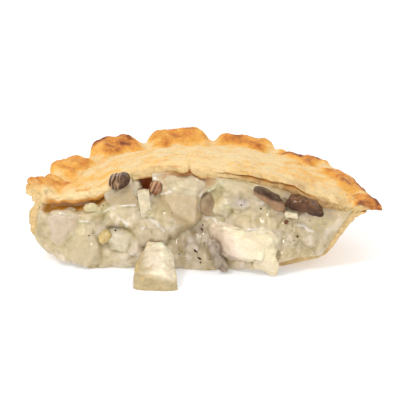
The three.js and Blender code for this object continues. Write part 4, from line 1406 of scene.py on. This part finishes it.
class PIE_OT_seasoning(bpy.types.Operator):
    """Strews pepper and shreds of herb over the sauce, and crumbs over the pastry's edges"""

    bl_idname = "pie.seasoning"
    bl_label = "Pepper, herbs and crumbs"

    # How many more specks, and how many shreds and crumbs there are.
    SPECKS, SHREDS, CRUMBS = 22, 26, 60

    def execute(self, context):
        dice = random.Random(4)
        front = tree_of(context, "filling")

        def scatter(count, xs, zs, sizes, stretch):
            within = (xs, zs, sizes)
            return [(*(dice.uniform(*limits) for limits in within), stretch) for _ in range(count)]

        specks = PEPPER + scatter(self.SPECKS, (-55, 48), (3, 32), (0.25, 0.42), 1)
        pepper = context.scene.pie_colours.pepper
        self.strew(context, "pepper_specks", front, specks, pepper, "mushroom", dice)
        shreds = scatter(self.SHREDS, (-54, 46), (4, 30), (0.7, 1.3), 2.2)
        self.strew(context, "herb_shreds", front, shreds, srgb(206, 190, 140), "leek", dice)
        self.strew(context, "browned_bits", front, BROWNED, srgb(118, 70, 46), "mushroom", dice)
        crumbs = []
        for _ in range(self.CRUMBS):
            side, z = dice.choice((-1, -1, 1)), dice.uniform(3, 27)
            x = side * dice.uniform(50, 58) - (3 if side < 0 else 0)
            crumbs.append((x, z, dice.uniform(0.5, 1.1), 1.2))
        crust = tree_of(context, "bottom_crust", "top_crust")
        self.strew(context, "pastry_crumbs", crust, crumbs, srgb(228, 196, 140), "base_pastry", dice)
        return {"FINISHED"}

    def strew(self, context, name, tree, bits, shade, slot, dice):
        """One mesh of small bits, pressed into what the front shows at their places."""
        bm = bmesh.new()
        tint = store_tint(bm)
        for x, z, size, stretch in bits:
            hit, normal = seen_from_front(tree, x, z)
            if hit is None:
                continue
            made = bmesh.ops.create_icosphere(bm, subdivisions=1, radius=size / 2)["verts"]
            turn = Euler([dice.uniform(0, math.pi) for _ in range(3)], "XYZ").to_matrix()
            light = dice.uniform(0.75, 1.25)
            for vert in made:
                place = vert.co * dice.uniform(0.8, 1.2)
                place.x *= stretch
                vert.co = turn @ place + hit + 0.1 * size * normal
                vert[tint] = (*(min(1.0, v * light) for v in shade), 1)
        hand_over(context, bm, name, wet_material(name, 0.35, 0.001, 0.1, coat=0.4, level=0.2), slot)


# ---- Stage ----


class PIE_OT_stage(bpy.types.Operator):
    """Sets up the pale table, the soft light and the camera"""

    bl_idname = "pie.stage"
    bl_label = "Table, light and camera"

    WORLD_LIGHT, TABLE_GLOW, TABLE_REACH = 0.94, 0.35, 4
    # Lamps: place, size and power. They point at LIT.
    LAMPS = {
        "key": ((-0.35, -0.5, 0.75), 0.2, 2.9),
        "front": ((0.2, -0.9, 0.35), 0.5, 0.6),
        "top": ((0.1, 0.15, 1.0), 0.5, 1.0),
    }
    LIT = (0, 0, 0.015)
    # The camera's turn and height in degrees, its distance, its lens, and the pie's place in the view.
    TURN, ELEVATION, DISTANCE, LENS = 5, 19.5, 1.2, 297.5
    MIDDLE, MOVED_LEFT, MOVED_UP = (0, -0.020, 0.016), 0.00145, 0.0089

    def execute(self, context):
        scene = context.scene
        scene.view_settings.view_transform = "Standard"
        scene.world = bpy.data.worlds.new("studio")
        scene.world.use_nodes = True
        background = scene.world.node_tree.nodes["Background"]
        background.inputs["Color"].default_value = (1, 1, 1, 1)
        background.inputs["Strength"].default_value = self.WORLD_LIGHT
        self.table(scene)
        for name, (place, size, power) in self.LAMPS.items():
            light = bpy.data.lights.new(name, "AREA")
            light.size, light.energy = size, power
            lamp = bpy.data.objects.new(name, light)
            lamp.location = place
            lamp.rotation_euler = (Vector(self.LIT) - lamp.location).to_track_quat("-Z", "Y").to_euler()
            scene.collection.objects.link(lamp)
        self.camera(scene)
        return {"FINISHED"}

    def table(self, scene):
        bm = bmesh.new()
        bmesh.ops.create_grid(bm, x_segments=8, y_segments=8, size=self.TABLE_REACH)
        mesh = bpy.data.meshes.new("table")
        bm.to_mesh(mesh)
        bm.free()
        recipe = Recipe("pale table", specular_ior_level=0.1, emission_strength=self.TABLE_GLOW)
        recipe.shader.inputs["Emission Color"].default_value = (1, 1, 1, 1)
        grain = recipe.noise(40, 2)
        pale = tuple(scene.pie_colours.table)
        shade = recipe.blend(recipe.spread(grain, 0.3, 0.7), pale, srgb(222, 224, 228))
        mesh.materials.append(recipe.finish(shade, recipe.spread(grain, 0.3, 0.7, 0.6, 0.7)))
        table = bpy.data.objects.new("table", mesh)
        scene.collection.objects.link(table)
        table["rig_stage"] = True

    def camera(self, scene):
        turn, elevation = math.radians(self.TURN), math.radians(self.ELEVATION)
        right = Vector((math.cos(turn), math.sin(turn), 0))
        back = Vector((-math.sin(turn), math.cos(turn), 0))
        forward = back * math.cos(elevation) - Vector((0, 0, math.sin(elevation)))
        up = right.cross(forward)
        target = Vector(self.MIDDLE) - right * self.MOVED_LEFT + up * self.MOVED_UP
        data = bpy.data.cameras.new("camera")
        data.sensor_width = 36
        data.lens = self.LENS
        camera = bpy.data.objects.new("camera", data)
        camera.location = target - forward * self.DISTANCE
        camera.rotation_euler = Matrix((right, up, -forward)).transposed().to_euler()
        scene.collection.objects.link(camera)
        scene.camera = camera


class PIE_PT_kitchen(bpy.types.Panel):
    """Sizes, colours and steps of the half pie"""

    bl_idname = "PIE_PT_kitchen"
    bl_label = "Half pot pie"
    bl_space_type = "VIEW_3D"
    bl_region_type = "UI"
    bl_category = "Pot Pie"

    def draw(self, context):
        layout = self.layout
        for group in (context.scene.pie_sizes, context.scene.pie_colours):
            for name in group.__annotations__:
                layout.prop(group, name)
        for step in STEPS:
            layout.operator(step.bl_idname)


# The sauce comes after the pieces because it climbs up on them.
STEPS = (
    PIE_OT_top_crust,
    PIE_OT_bottom_crust,
    PIE_OT_chicken,
    PIE_OT_mushrooms,
    PIE_OT_vegetables,
    PIE_OT_filling,
    PIE_OT_seasoning,
    PIE_OT_stage,
)
CLASSES = (PieSizes, PieColours, *STEPS, PIE_PT_kitchen)


def register():
    for entry in CLASSES:
        bpy.utils.register_class(entry)
    bpy.types.Scene.pie_sizes = PointerProperty(type=PieSizes)
    bpy.types.Scene.pie_colours = PointerProperty(type=PieColours)


def unregister():
    del bpy.types.Scene.pie_colours
    del bpy.types.Scene.pie_sizes
    for entry in reversed(CLASSES):
        bpy.utils.unregister_class(entry)


def main():
    register()
    noise.seed_set(5)
    bpy.ops.pie.top_crust()
    bpy.ops.pie.bottom_crust()
    bpy.ops.pie.chicken()
    bpy.ops.pie.mushrooms()
    bpy.ops.pie.vegetables()
    bpy.ops.pie.filling()
    bpy.ops.pie.seasoning()
    bpy.ops.pie.stage()


if __name__ == "__main__":
    main()
